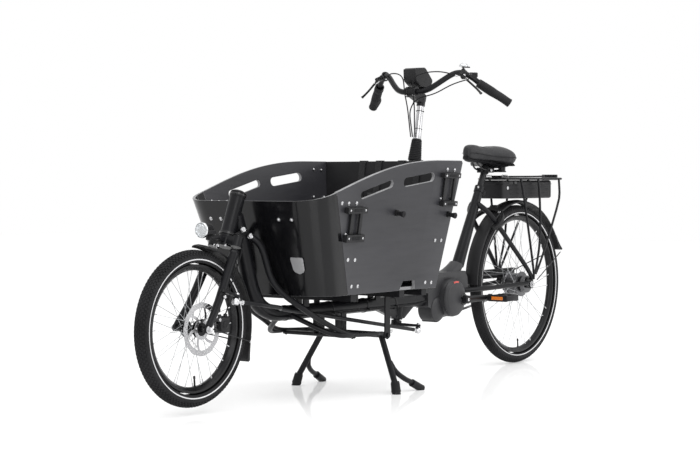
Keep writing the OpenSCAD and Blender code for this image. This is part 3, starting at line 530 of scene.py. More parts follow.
def wheel(end, body, hub, radius, width, stripe_angle, flange_r, flange_y, cross):
    """Tyre with tread blocks and a reflecting stripe, deep rim, nipples and valve."""
    middle, casing = radius - width / 2, width / 2 - 2.2

    def section(angle, r):
        a = radians(angle)
        return middle + r * cos(a), r * sin(a)

    profile = []
    for step in range(-30, 31):
        angle = step * 4.2
        rib = 0.35 if abs(abs(angle) - 72) < 3 or abs(abs(angle) - 88) < 3 else 0
        profile.append(section(angle, casing + rib))
    profile += [section(step * 21, casing - 3.4) for step in range(6, -7, -1)]
    tyre = Piece(end + "_tyre_casing", body, "tyre_rubber", "tyre_rubber")
    tyre.lathe(profile, hub, Y, WHEEL_STEPS)

    rows = [(0, 0.0), (15, 0.5), (-15, 0.5), (31, 0.0), (-31, 0.0), (46, 0.5), (-46, 0.5), (60, 0.0),
            (-60, 0.0)]
    count = round(2 * pi * radius / TREAD_PITCH)
    for angle, shift in rows:
        low, high = section(angle, casing - 1), section(angle, width / 2 + (0 if abs(angle) < 40 else 0.7))
        across = radians(angle)
        half_w, half_l = (2.9, 4.6) if abs(angle) < 40 else (3.1, 4.0)
        for i in range(count):
            turn = 2 * pi * (i + shift) / count
            corners = []
            for (r, y), grow in ((low, 1.15), (high, 0.85)):
                for sw, sl in ((-1, -1), (1, -1), (1, 1), (-1, 1)):
                    rr = r - sw * half_w * grow * sin(across)
                    yy = y + sw * half_w * grow * cos(across)
                    aa = turn + sl * half_l * grow / radius
                    corners.append(hub + around_y(rr, aa, yy))
            tyre.skin([corners[:4], corners[4:]])
    tyre.done(end + "_tyre", smooth=38)

    stripe = Piece(end + "_tyre_stripe", body, "stripe_film", "tyre_rubber")
    for side in (-1, 1):
        out = [section(side * (stripe_angle + d), casing + 0.45) for d in (-4.2, -1.5, 1.5, 4.2)]
        back = [section(side * (stripe_angle + d), casing - 0.3) for d in (4.2, -4.2)]
        stripe.lathe(out + back, hub, -Y, WHEEL_STEPS)
    stripe.done()

    top, high = radius - width / 2 - 0.36 * width, width * 0.3
    half = [(top - 20, 0), (top - 20, 0.28 * high), (top - 19, 0.42 * high), (top - 9.2, 0.92 * high),
            (top - 7.6, high), (top - 0.8, high), (top, high - 0.8), (top, high - 2.4), (top - 0.8, high - 3),
            (top - 7, high - 3), (top - 11, high * 0.5), (top - 12, 0)]
    other = [(r, -y) for r, y in reversed(half[1:-1])]
    rim = Piece(end + "_rim_shell", body, "rim_black", "rim_black")
    rim.lathe(half + other, hub, -Y, WHEEL_STEPS)
    rim.done(end + "_rim", smooth=30)

    spokes = Piece(end + "_spoke_set", body, "spoke_steel", "spoke_steel")
    nipples = steel(end + "_nipples", body)
    rim_inner = radius - 0.86 * width - 19
    for i in range(SPOKES):
        side, lead = (1 if i % 2 == 0 else -1), (1 if i // 2 % 2 == 0 else -1)
        k, lane = 2 * pi * i / SPOKES, (0 if lead > 0 else 2.6)
        far = k + radians(lead * cross)
        a = hub + around_y(flange_r, k, side * (flange_y - lane))
        b = hub + around_y(rim_inner, far, side * (5 - lane))
        d = (b - a).normalized()
        spokes.sweep([a, a + (b - a) * 0.12, a + (b - a) * 0.2, a + (b - a) * 0.85, b],
                     [1.05, 1.05, 0.9, 0.9, 1.0], 8)
        nipples.turned([(1.3, 0), (1.9, 1.2), (1.9, 9), (2.6, 11), (2.6, 14)], b - d * 13, d, 8)
        nipples.turned([(1.1, -1), (2.0, -0.6), (2.0, 0.6), (1.1, 1)], a + Y * side * 1.6, Y * side, 8)
    spokes.done(end + "_spokes")
    nipples.done()

    valve = plastic(end + "_valve", body)
    lean = radians(-94)
    out = around_y(1, lean)
    valve.turned([(4.4, 0), (4.4, 1.5), (3.2, 2.2), (3.2, 22), (2.7, 22.5), (2.7, 24), (3.9, 24.4), (3.9, 33),
                  (3.2, 34.5), (1.5, 35)], hub + out * (top - 20), -out, 16)
    valve.done()


def hubs():
    front = alloy("front_hub_shell", "front_wheel")
    front.lathe([(5.1, -53), (9, -53), (10, -52), (10, -44), (21, -44), (22, -43), (22, -40), (21, -39),
                 (14, -37),
                 (13.4, -29), (26.5, -28), (28, -27), (28, -26), (26.5, -25), (15, -22), (12.6, -8),
                 (12.6, 8),
                 (15, 22), (26.5, 25), (28, 26), (28, 27), (26.5, 28), (13.4, 29), (12, 40), (11.4, 53),
                 (5.1, 53)],
                HUB_F, -Y, 64)
    front.done("front_hub", smooth=30)
    rear = Piece("rear_hub_shell", "rear_wheel", "hub_alloy", "hub_silver")
    rings = [(5.1, -64), (15, -64), (16, -63), (33, -60), (35, -58), (36, -42), (35, -40), (30, -34),
             (51, -30.5),
             (52, -29.5), (52, -27.8), (51, -27), (43, -24)]
    ribs = []
    for step in range(-5, 6):
        ribs += [(43, step * 4 - 1.4), (44.2, step * 4 - 0.8), (44.2, step * 4 + 0.8), (43, step * 4 + 1.4)]
    tail = [(43, 24), (51, 27), (52, 27.8), (52, 29.5), (51, 30.5), (26, 32), (17, 38), (16.6, 53), (5.1, 53)]
    rear.lathe(rings + ribs + tail, HUB_R, -Y, 72)
    rear.done("rear_hub", smooth=30)


def axles():
    for node, hub, reach, body in (("front_axle", HUB_F, 85, "fork"), ("rear_axle", HUB_R, 92, "frame")):
        axle = Piece(node + "_detail", body, "bright_steel", "axle_steel")
        axle.turned([(4.2, -reach), (5, -reach + 1), (5, reach - 1), (4.2, reach)], hub, Y, 24)
        for side in (-1, 1):
            nut = reach - (8 if body == "fork" else 13)
            outline = [polar(9, pi * k / 3) for k in range(6)]
            axle.plate([outline], hub + Y * side * (nut + 3.5), basis(Y * side), 7, 0.8)
            axle.turned([(13, 0), (13, 1.4), (12.4, 1.8), (5, 1.8)], hub + Y * side * (nut - 1.8), Y * side,
                        32)
            axle.turned([(4.9, 0), (6.4, 0.3), (6.2, 3), (4.8, 4.8), (2.5, 5.6)],
                        hub + Y * side * (nut + 6.8),
                        Y * side, 24)
        axle.done(node, smooth=30)


def rotor():
    disc = Piece("front_rotor_disc", "front_wheel", "rotor_steel", "rotor_steel")
    outer = [polar(88 - 1.6 * (cos(12 * a) < -0.3), a) for a in [2 * pi * i / 240 for i in range(240)]]
    holes = [circle_points(22, 40)]
    for i in range(30):
        a = radians(i * 12)
        for r, shift in ((83.2, 0), (78.5, 5), (73.8, 10)):
            b = a + radians(shift) * 0.8
            holes.append(circle_points(1.9, 12, polar(r, b)))
    for i in range(6):
        start = i * 60
        arc_out = [(69.5, 75 - 53 * t / 8) for t in range(9)]
        arc_in = [(34, 7 + 46 * t / 6) for t in range(7)]
        window = arc_in + [(50, 61)] + arc_out + [(50, 13)]
        holes.append([polar(r, radians(start + a)) for r, a in window])
    disc.plate([outer] + holes, HUB_F + Y * 43, basis(Y, X), 1.9, 0.25)
    disc.done("front_rotor", smooth=25)
    bolts = steel("front_rotor_bolts", "front_wheel")
    for i in range(6):
        a = radians(60 * i + 8)
        bolts.bolt(HUB_F + around_y(27, a, 43.9), Y, 2.6, 1.8)
    bolts.done()


def caliper():
    low = node_box("front_brake_caliper")[0]
    body = plastic("caliper_body", "fork")
    centre = vec(low.x + 23, 0, low.z + 23)
    for y, t in ((34.5, 12.5), (53.5, 16)):
        body.block((44, t, 52), centre + Y * y, basis(Z, X), 3.5)
    body.block((46, 24, 12), centre + vec(0, 43, 22), basis(Z, X), 3)
    body.block((34, 8, 24), centre + vec(35, 56.5, 24), basis(Z, X), 2.5)
    body.turned([(13, 0), (13, 2), (11, 3.5), (6, 4), (5, 3)], centre + Y * 61, Y, 32)
    body.turned([(7, 0), (7, 8), (5.5, 9.5)], centre + vec(-8, 52, 26), vec(-0.3, 0, 1), 20)
    body.done("front_brake_caliper", smooth=35)
    bolts = steel("caliper_bolts", "fork")
    for x, z in ((44, 30), (26, 18)):
        bolts.bolt(centre + vec(x, 60.5, z), Y, 3.6, 3)
    bolts.done()
    hose = Piece("front_brake_hose", "fork", "soft_rubber", "cable_rubber")
    hose.sweep(path_through([centre + vec(-10, 52, 34), centre + vec(-18, 56, 60),
                             vec(1908, 66, 400), vec(1884, 66, 450), vec(1858, 66, 500),
                             vec(1836, 60, 548), vec(1834, 46, 566)], 8), 2.4, 10)
    hose.done(smooth=60)


# ---------------------------------------------------------------- fork, head and lamp
def fork():
    soften("fork_legs", "frame_paint", 0.15, 50, 1)
    refine("fork_crown", "frame_paint", 2.2)
    trim = steel("fork_bolts", "fork")
    leg = vec(1944, 76, 383)
    trim.turned([(3.5, 0), (3.5, 2), (6.2, 2.4), (6.2, 6), (5, 7.5), (2.5, 8)], leg - Y * 3, Y, 20)
    ball = vec(1908, 92, 366)
    trim.turned([(3.4, 0), (3.4, 4), (6, 5), (6, 10), (4.6, 11.5)], ball + HEAD_AXIS * 19, HEAD_AXIS, 20)
    for side in (-1, 1):
        trim.bolt(HEAD - HEAD_AXIS * 4 + vec(3, 50 * side, 1), HEAD_AXIS, 5.2, 3)
        trim.bolt(vec(1881, 24 * side, 548), vec(0.92, 0.25 * side, 0.2), 3.2, 2)
    trim.bolt(vec(1890, 0, 545), vec(1, 0, -0.1), 5.5, 4)
    trim.done()
    for side in (-1, 1):
        eyelet = Piece(f"fork_eyelet_{'left' if side > 0 else 'right'}", "fork", "frame_paint", "frame_black")
        eyelet.lathe([(3, -4), (6.5, -4), (7, -3), (7, 3), (6.5, 4), (3, 4)], vec(1964, 66 * side, 340), Y,
                     24)
        eyelet.done()


def head():
    refine("head_tube", "frame_paint", 1.0, 30)
    cups = Piece("headset_cups", "frame", "gloss_plastic", "plastic_black")
    for h, r in ((0, 29.2), (141, 28.6)):
        cups.lathe([(26.4, h), (r, h), (r + 0.8, h + 1), (r + 0.8, h + 3), (r, h + 4), (r, h + 8),
                    (26.4, h + 9)],
                   HEAD, HEAD_AXIS, 64)
    cups.done(smooth=30)
    cap = plastic("headset_cap", "frame")
    cap.turned([(26, 0), (27.5, 0.5), (27.5, 2), (25, 5), (18, 8.5), (9, 10), (8, 9), (4, 9)],
               HEAD + HEAD_AXIS * 151, HEAD_AXIS, 64)
    cap.done(smooth=50)
    guide = steel("cable_fittings", "frame")
    for at in (vec(1822, 44, 596), vec(1794, 52, 574)):
        guide.turned([(4, 0), (4, 6), (8.5, 7), (9.5, 10), (9.5, 15), (8, 18), (4, 19)], at,
                     vec(0.35, 0.9, 0.25), 28)
    guide.done()
    block = plastic("cable_guide_block", "frame")
    block.block((58, 16, 17), vec(1812, 36, 586), basis(vec(0.3, 0.2, 1), X), 3)
    block.done()


def headlight():
    at = vec(node_box("headlight")[1].x, 0, LAMP_Z)
    shell = plastic("headlight_body", "fork")
    rings = [(15, -46), (20, -44), (21.5, -41)]
    for step in range(5):
        x = -39 + step * 5
        rings += [(20.8, x), (23, x + 1), (23, x + 3), (20.8, x + 4)]
    rings += [(23.6, -13), (25, -6)]
    shell.turned(rings, at, X, 64)
    shell.block((54, 16, 9), vec(1913, 0, 572), None, 2)
    shell.block((12, 18, 26), vec(1936, 0, 580), None, 2)
    for side in (-1, 1):
        shell.block((38, 4, 12), at + vec(-26, side * 25, -6), None, 1.4)
    shell.done("headlight", smooth=32)
    bezel = Piece("headlight_bezel", "fork", "lamp_chrome", "lamp_clear")
    bezel.lathe([(22.8, -9), (25.4, -9), (26.4, -7), (26.4, -1), (25.4, 1.4), (23.8, 1.8), (22.8, 0.4)], at,
                X, 72)
    bezel.lathe([(21, -2), (22.4, -2), (22.4, -1), (11, -11), (5, -14), (5, -15.5), (11, -12.5), (21, -3)],
                at, X, 72)
    for k in range(16):
        a = 2 * pi * k / 16
        d = vec(0, cos(a), sin(a))
        bezel.sweep([at + d * 6 + X * -13, at + d * 13 + X * -8.4, at + d * 21.5 + X * -1.6],
                    [0.5, 0.8, 1.1], 6)
    bezel.turned([(5, 0), (5, 4), (4, 7), (2, 8)], at + X * -14.5, X, 24)
    bezel.done(smooth=40)
    glass = Piece("headlight_lens", "fork", "lamp_glass", "lamp_clear")
    glass.turned([(22.3, 0), (22.3, 1.2), (19, 3.1), (12, 4.6), (5, 5.2), (1, 5.3)], at - X * 0.6, X, 64)
    glass.done(smooth=60)


def mudguards():
    for node in ("front_mudguard", "rear_mudguard"):
        refine(node, "black_plastic", 0.5, 30)
    clips = steel("mudguard_clips_front", "fork")
    for side in (-1, 1):
        clips.bolt(vec(HUB_F.x - 262, 28.5 * side, HUB_F.z - 60), Y * side, 3, 2)
    clips.done()
    clips = steel("mudguard_clips_rear", "frame")
    for side in (-1, 1):
        clips.bolt(vec(-320, 29.5 * side, 453), Y * side, 3, 2)
    clips.done()
    strip = Piece("mudguard_reflector", "frame", "red_lens", "plastic_black")
    a = radians(150)
    out = around_y(1, a)
    strip.block((11, 34, 62), HUB_R + out * 358, basis(vec(-sin(a), 0, cos(a)), out), 3)
    strip.done()


# ---------------------------------------------------------------- frame
def frame_tubes():
    soften("down_tube", "frame_paint", 0.3, 50, 1)
    soften("cradle_tubes", "frame_paint", 0.5, 50, 1)
    soften("chainstays", "frame_paint", 0.2, 50, 1)
    soften("seatstays", "frame_paint", 0.2, 50, 1)
    refine("motor_shell", "motor_plastic", 2.5, 30)
    for node in ("main_beam", "cradle_crossbars", "column_housing", "seat_tube"):
        refine(node, "frame_paint", 1.2, 30)
    collar = steel("seat_collar_bolt", "frame")
    collar.bolt(vec(313, 13.5, 736), Y, 3.6, 3)
    collar.done()
    welds = Piece("weld_beads", "frame", "frame_paint", "frame_black")
    for x in (1345, 1215):
        for side in (-1, 1):
            welds.lathe([(7.6, -2.2), (9.6, -0.6), (9.8, 0.8), (7.6, 2)], vec(x, side * 150, 214), Y, 24)
    for h, r in ((-608, 19), (-30, 22)):
        welds.lathe([(r, -2), (r + 1.8, -0.5), (r + 1.8, 0.9), (r, 2.2)], COLUMN + COLUMN_AXIS * h,
                    COLUMN_AXIS, 48)
    welds.done(smooth=60)
    lines = Piece("beam_cables", "frame", "soft_rubber", "cable_rubber")
    for side, lift in ((1, 0), (-1, 3)):
        lines.sweep(path_through([vec(1708, side * 18, 352), vec(1655, side * 26, 303),
                                  vec(1560, side * 29, 290), vec(1400, side * 29, 288 + lift),
                                  vec(1100, side * 29, 287 + lift), vec(800, side * 29, 289),
                                  vec(705, side * 28, 298)], 8), 2.6, 10)
    lines.done(smooth=60)
    clips = plastic("beam_cable_clips", "frame")
    for x in (1540, 1290, 1080, 900):
        clips.lathe([(26.2, -4), (27.6, -3.6), (27.6, 3.6), (26.2, 4)], vec(x, 0, 302), X, 64)
        for side in (-1, 1):
            clips.block((8, 9, 9), vec(x, side * 29, 288), None, 2)
    clips.done()


def motor():
    cover = Piece("motor_cover", "frame", "motor_plastic", "motor_plastic")
    cover.turned([(70, -36), (74, -33), (74, 50), (73, 52.5), (71.4, 53), (71.4, 54.5), (72.6, 55.5),
                  (71, 61),
                  (66, 66.5), (56, 69.6), (40, 71.4), (22, 72), (2, 72)], MOTOR, Y, 96)
    cover.turned([(44, -30), (48, -27), (48, 24), (46.6, 27), (46.6, 28.5), (47.6, 30), (46, 35), (38, 38.8),
                  (22, 40), (2, 40)], MOTOR_NOSE, Y, 72)
    cover.done("motor_unit", smooth=32)
    ring = Piece("motor_ring", "frame", "gloss_plastic", "motor_plastic")
    ring.lathe([(60.5, 67.9), (63, 67.6), (63.4, 67.1), (60, 66), (59.5, 67)], MOTOR, Y, 96)
    boss = vec(CRANK.x, 0, CRANK.z)
    ring.lathe([(12.1, 60), (23, 60), (23, 73), (21.5, 75.6), (19, 76), (12.1, 76)], boss, Y, 64)
    ring.lathe([(12.1, -42), (22, -42), (22, -34), (12.1, -34)], boss, Y, 64)
    ring.done(smooth=35)
    screws = steel("motor_screws", "frame")
    for k in range(6):
        a = radians(60 * k + 18)
        if k != 3:
            screws.bolt(MOTOR + around_y(68.2, a, 53.5), Y, 2.2, 1.5)
    screws.done()
    mark = Piece("motor_accent", "frame", "accent_paint", "motor_plastic")
    band = [polar(66, radians(-104 + t * 4)) for t in range(9)]
    inner = [polar(59, radians(-72 - t * 4)) for t in range(9)]
    mark.plate([band + inner], MOTOR + Y * 67.4, basis(Y, X), 2.4, 0.3)
    mark.done()
    ribs = Piece("motor_ribs", "frame", "motor_plastic", "motor_plastic")
    for k in range(7):
        a = radians(232 + k * 9)
        out = around_y(1, a)
        across = vec(-sin(a), 0, cos(a))
        ribs.block((5, 62, 2.6), MOTOR_NOSE + out * 48.6 - Y, basis(across, out), 0.8)
    ribs.done()


# ---------------------------------------------------------------- cargo box
SIDE_LEAN, FRONT_LEAN, BACK_LEAN = 0.15, 0.343, 0.164
BOX_HALF, BOX_LOW = 250, 371
FRONT_NORMAL = vec(1, 0, -FRONT_LEAN).normalized()


def side_normal(side):
    return vec(0, side, -SIDE_LEAN).normalized()


def on_panel(x, z, side):
    """A point on a side panel's outer face."""
    return vec(x, side * (BOX_HALF + SIDE_LEAN * (z - BOX_LOW)), z)


def box_panels():
    for side in (1, -1):
        node = "box_side_left" if side > 0 else "box_side_right"
        refine(node, "side_paint", 1.4, 25, "panel_edge", side_normal(side))
    refine("box_front_panel", "front_paint", 1.2, 30, "panel_edge")
    refine("box_rear_panel", "inner_paint", 1.2, 25, "panel_edge", vec(1, 0, BACK_LEAN).normalized())
    refine("box_floor", "inner_paint", 1.2, 25, "panel_edge", Z)
    refine("bench", "inner_paint", 1.2, 25)
    bolts = steel("box_bolt_heads", "frame")
    nuts = steel("box_bolt_nuts", "frame")
    for points in islands("box_bolts"):
        centre = Vector(points.mean(0))
        in_front = centre.x > 1650 and abs(centre.y) < 200
        axis = FRONT_NORMAL if in_front else side_normal(copysign(1, centre.y))
        offsets = [Vector(p) - centre for p in points]
        reach = max(v.dot(axis) for v in offsets)
        line = sum((v - axis * v.dot(axis) for v in offsets), Vector()) / len(points)
        head_at = centre + line + axis * (reach - 2.6)
        bolts.bolt(head_at, axis, 4.4, 2.6)
        nuts.turned([(5.4, 0), (5.8, 0.6), (5.8, 3.6), (5.2, 4.2), (2.6, 4.2), (2.6, 5.4), (1.8, 6)],
                    head_at - axis * 12.9, -axis, 6)
    bolts.done("box_bolts", smooth=35)
    nuts.done()
    badge = Piece("box_badge", "frame", "badge_metal", "bolt_steel")
    out = FRONT_NORMAL
    outline = [(-27, 22), (-24, 27), (24, 27), (27, 22), (24, -18), (18, -26), (0, -33), (-18, -26),
               (-24, -18)]
    m = Matrix((Y, out.cross(Y), out)).transposed()
    at = vec(1635 + FRONT_LEAN * (BADGE_Z - BOX_LOW), 166, BADGE_Z) + out * 1.1
    badge.plate([outline], at, m, 1.8, 0.5)
    inner = [(0.82 * x, 0.82 * y) for x, y in outline]
    badge.plate([inner, [(0.76 * x, 0.76 * y) for x, y in outline]], at + out * 1.1, m, 0.7, 0.15)
    badge.done()


def box_fittings():
    refine("tent_pole_clamps", "black_plastic", 1.6, 30)
    straps = rubber("clamp_straps", "frame")
    screws = steel("clamp_screws", "frame")
    for side in (1, -1):
        out = side_normal(side)
        for x, z, w, tall in ((1530, 665, 100, 18), (1526, 570, 92, 24), (978, 783, 96, 16),
                              (972, 681, 84, 16)):
            face = on_panel(x, z, side) + out * 20.4
            straps.block((w * 0.5, tall * 0.55, 1.6), face - X * 4, basis(out, X), 0.6)
            for k in range(5):
                straps.block((1.6, tall * 0.5, 2.2), face + X * (-18 + k * 5.5), basis(out, X), 0.5)
            for end in (-1, 1):
                screws.bolt(face + X * end * w * 0.42 - out * 0.2, out, 2.6, 1.6)
    straps.done()
    screws.done()
    pegs = rubber("peg_caps", "frame")
    for x, z in ((1280, 650), (952, 640)):
        for side in (1, -1):
            out, at = side_normal(side), on_panel(x, z, side)
            pegs.turned([(10.4, 0), (11, 0.8), (11, 3.4), (9.8, 4.4), (4, 4.6), (3, 3.6)], at + out * 31.5,
                        out, 32)
            for reach in (14, 20):
                pegs.lathe([(7, 0), (8.2, 0.5), (8.2, 2), (7, 2.5)], at + out * reach, out, 32)
    pegs.done()
    refine("seat_belts", "webbing", 0.4, 40)
    buckles = Piece("belt_buckles", "frame", "gloss_plastic", "belt_fabric")
    buttons = Piece("belt_buttons", "frame", "red_lens", "belt_fabric")
    for y in (-127, -51, 51, 127):
        buckles.block((48, 34, 10), vec(1058, y, 634), None, 3)
        buckles.block((34, 31, 5), vec(967, y, 700), basis(vec(1, 0, BACK_LEAN), Z), 1.6)
        buttons.block((14, 18, 3), vec(1066, y, 639.5), None, 1)
    buckles.done()
    buttons.done()
    rail = rubber("seam_gasket", "frame")
    for side in (1, -1):
        out = side_normal(side)
        line = [on_panel(1505 + 0.373 * (z - BOX_LOW) + 0.2, z, side) - out * 1.4
                for z in range(376, 720, 12)]
        rail.sweep(line, 1.3, 8)
    rail.done(smooth=60)


# ---------------------------------------------------------------- rear carrier, lock, chain
def carrier():
    soften("rear_rack", "frame_paint", 0.45, 50, 1)
    grip = Piece("rack_spring_clamp", "frame", "frame_paint", "frame_black")
    for side in (-1, 1):
        grip.sweep(path_through([vec(150, side * 20, 779), vec(60, side * 26, 779),
                                 vec(-90, side * 28, 779.5), vec(-190, side * 22, 780),
                                 vec(-214, 0, 781)], 8), 3.4, 12)
    grip.sweep([vec(150, -24, 779), vec(150, 24, 779)], 4.2, 14)
    grip.done(smooth=60)
    coils = Piece("rack_clamp_springs", "frame", "bright_steel", "axle_steel")
    for side in (-1, 1):
        turns = [vec(150 + 6.6 * cos(t * 0.5), side * (26 + t * 0.42), 779 + 6.6 * sin(t * 0.5))
                 for t in range(0, 64)]
        coils.sweep(turns, 1.1, 6)
    coils.done(smooth=60)
    low = node_box("rear_rack")[0]
    lamp = Piece("tail_lamp", "frame", "red_lens", "plastic_black")
    lamp.block((7, 60, 17), vec(low.x + 3.4 - 4, 0, 776), None, 2.4)
    lamp.done()
    case = plastic("tail_lamp_case", "frame")
    case.block((16, 72, 24), vec(low.x + 8, 0, 776), None, 3)
    case.done()


def battery_pack():
    low, high = node_box("battery")
    body = plastic("battery_shell", "battery")
    centre = vec(0, 0, (low.z + high.z) / 2)
    body.block((392, 116, 75.6), vec(0, 0, centre.z), None, 9)
    body.block((20, 90, 54), vec(low.x + 10, 0, centre.z - 1), None, 5)
    for side in (-1, 1):
        for k in range(3):
            body.block((300, 3, 5), vec(-10, side * 58, centre.z - 18 + k * 17), None, 1.3)
    handle = [(3, -30, 12), (0, -30, 4), (0, 30, 4), (3, 30, 12)]
    body.sweep(path_through([(low.x + x, y, centre.z + z) for x, y, z in handle], 6), 3.5, 12)
    body.done("battery", smooth=32)
    band = Piece("battery_seam", "battery", "gloss_plastic", "plastic_black")
    band.block((393.4, 117.2, 1.8), vec(0, 0, centre.z + 22), None, 0.5)
    band.block((60, 1.4, 10), vec(120, 58.3, centre.z + 28), None, 0.5)
    band.done()
    lock = steel("battery_lock", "battery")
    lock.turned([(7, 0), (7, 2), (6, 3), (2.4, 3.1), (2.2, 2.2)], vec(160, 57.4, centre.z + 6), Y, 28)
    lock.done()


def ring_lock_case():
    refine("ring_lock", "black_plastic", 2.4, 32)
    key = steel("lock_key_barrel", "frame")
    m = Matrix.Rotation(radians(-47), 3, "Y")
    key.turned([(6.5, 0), (6.5, 2), (5.6, 2.8), (2.2, 2.9), (2.0, 2.0)],
               vec(232, 0, 596) + m @ vec(8.2, 46, 46), m @ X, 28)
    key.done()


def chain_run():
    refine("chain_guard", "black_plastic", 0.6, 30)
    centre_a, centre_b = vec(CRANK.x, 0, CRANK.z), vec(HUB_R.x, 0, HUB_R.z)
    ra, rb = 77.5, 41.5
    span = centre_b - centre_a
    tilt = atan2(span.z, span.x)
    bend = acos((ra - rb) / span.length)
    pts, steps = [], 240
    for k in range(steps):
        a = tilt + bend + (2 * pi - 2 * bend) * k / (steps - 1)
        pts.append(centre_a + around_y(ra, a))
    for k in range(steps):
        a = tilt - bend + 2 * bend * k / (steps - 1)
        pts.append(centre_b + around_y(rb, a))
    pts.append(pts[0])
    walk = [0.0]
    for a, b in zip(pts, pts[1:]):
        walk.append(walk[-1] + (b - a).length)
    links = 2 * round(walk[-1] / LINK_PITCH / 2)
    pitch = walk[-1] / links

    def along(d):
        d %= walk[-1]
        i = int(np.searchsorted(walk, d, side="right")) - 1
        i = min(i, len(pts) - 2)
        return pts[i].lerp(pts[i + 1], (d - walk[i]) / max(walk[i + 1] - walk[i], 1e-9))

    chain = Piece("chain_links", "frame", "chain_steel", "chain_steel")
    for i in range(links):
        a, b = along(i * pitch), along((i + 1) * pitch)
        d = (b - a).normalized()
        mid = (a + b) / 2 - Y * CHAIN_Y
        wide = 3.2 if i % 2 else 2.2
        up = d.cross(Y)
        for side in (-1, 1):
            ring = [(mid + d * x + up * y) for x, y in stadium(pitch, 3.9, 5)]
            y0, y1 = side * wide - 0.45, side * wide + 0.45
            chain.skin([[p + Y * y0 for p in ring], [p + Y * y1 for p in ring]])
        chain.turned([(2.9, -2), (2.9, 2)], a - Y * CHAIN_Y, Y, 10)
        chain.turned([(1.4, -3.4), (1.4, 3.4)], a - Y * CHAIN_Y, Y, 8)
    chain.done("chain", smooth=35)
    cog = Piece("rear_sprocket_teeth", "rear_driver", "chain_steel", "chain_steel")
    cog.plate([tooth_outline(HUB_TEETH, 37.5), circle_points(17.1, 40)], HUB_R - Y * 47.5, basis(Y, X), 2.6,
              0.3)
    cog.done("rear_sprocket", smooth=25)


def tooth_outline(teeth, r):
    points = []
    for i in range(teeth):
        for share, depth in ((0.0, 5.6), (0.16, 5.0), (0.34, 0.8), (0.5, 0.0), (0.66, 0.8), (0.84, 5.0)):
            a = 2 * pi * (i + share) / teeth
            points.append(polar(r - depth, a))
    return points


# ---------------------------------------------------------------- cranks, pedals and stand
def cranks():
    crank = alloy("crank_ring", "cranks")
    windows = [circle_points(17, 40)]
    for i in range(5):
        a0 = 72 * i
        arc_out = [(60, a0 + 8 + 56 * t / 8) for t in range(9)]
        arc_in = [(30, a0 + 52 - 32 * t / 6) for t in range(7)]
        windows.append([polar(r, radians(a)) for r, a in arc_out + arc_in])
    crank.plate([tooth_outline(RING_TEETH, 73.4)] + windows, CRANK - Y * (CRANK.y + CHAIN_Y), basis(Y, X),
                3.6, 0.35)
    crank.done()
    arms = alloy("crank_arms", "cranks")
    centre = vec(CRANK.x, 0, CRANK.z)
    arms.turned([(10, -93), (11.9, -91), (11.9, 91), (10, 93)], centre, Y, 40)
    for side in (-1, 1):
        arms.turned([(17, 77.5), (17, 80.5), (16, 93.4), (14, 95), (12, 95)], centre, Y * side, 48)
        path = [centre + vec(-side * d, side * CRANK_Y, 0) for d in (0, 60, 120, CRANK_LENGTH)]
        arms.sweep(path_through(path, 5), lambda t: 15 - 4.2 * t, 24, 0.42, Z)
        arms.lathe([(6.1, -6.5), (13, -6.5), (14, -5.5), (14, 5.5), (13, 6.5), (6.1, 6.5)],
                   centre + vec(-side * CRANK_LENGTH, side * CRANK_Y, 0), Y, 40)
    arms.done("crank_set", smooth=40)
    caps = steel("crank_bolts", "cranks")
    for side in (-1, 1):
        caps.bolt(centre + Y * side * 93, Y * side, 6.5, 3)
    caps.done()


def pedals():
    for name, side in (("pedal_left", 1), ("pedal_right", -1)):
        at = joint_at(name + "_spin")
        at = vec(at.x, 0, at.z)
        cage = Piece(name + "_cage", name, "black_plastic", "pedal_plastic")
        for x in (-38, 38):
            cage.block((12, 94, 25), at + vec(x, side * PEDAL_Y, 0), None, 4)
        for y in (PEDAL_Y - 43, PEDAL_Y, PEDAL_Y + 43):
            cage.block((74, 9, 22), at + vec(0, side * y, 0), None, 3)
        cage.turned([(9, 98), (9.6, 100), (9.6, 190), (8, 192)], at, Y * side, 32)
        cage.done(name, smooth=32)
        axle = Piece(name + "_axle", name, "bright_steel", "axle_steel")
        axle.turned([(5.4, 81), (5.9, 82), (5.9, 94), (9.4, 94.4), (9.4, 97), (7, 98.4)], at, Y * side, 32)
        axle.done()
        tread = Piece(name + "_tread", name, "grip_tape", "pedal_plastic")
        for x in (-38, 38):
            for z in (-1, 1):
                tread.block((8, 82, 1.2), at + vec(x, side * PEDAL_Y, z * 12.6), None, 0.5)
        tread.done()
        reflector = Piece(name + "_reflectors", name, "amber_lens", "pedal_plastic")
        for x in (-1, 1):
            reflector.block((2.4, 52, 13), at + vec(x * 43.6, side * PEDAL_Y, 0), None, 1)
        reflector.done()


def stand():
    refine("kickstand", "frame_paint", 1.2, 35)
    feet = rubber("stand_feet", "stand")
    for side in (-1, 1):
        a, b = vec(1183, side * 219, 44), vec(1190, side * 231, -6)
        d = (b - a).normalized()
        top = a + d * 4
        low = a + d * (44 - 1.5) / abs(d.z)
        feet.sweep([top, top + d * 1.5, top + d * 2, low - d * 14, low - d * 13, low - d * 6, low - d * 5.4],
                   [15.6, 16.2, 16.2, 16.8, 17.6, 17.6, 16.8], 36)
    feet.done(smooth=35)
    spring = Piece("stand_spring", "stand", "bright_steel", "axle_steel")
    turns = [vec(1128 - t * 0.55, 120 + 5.2 * cos(t * 0.7), 206 + 5.2 * sin(t * 0.7) + t * 0.05)
             for t in range(0, 120)]
    spring.sweep(turns, 1.0, 6)
    spring.done(smooth=60)


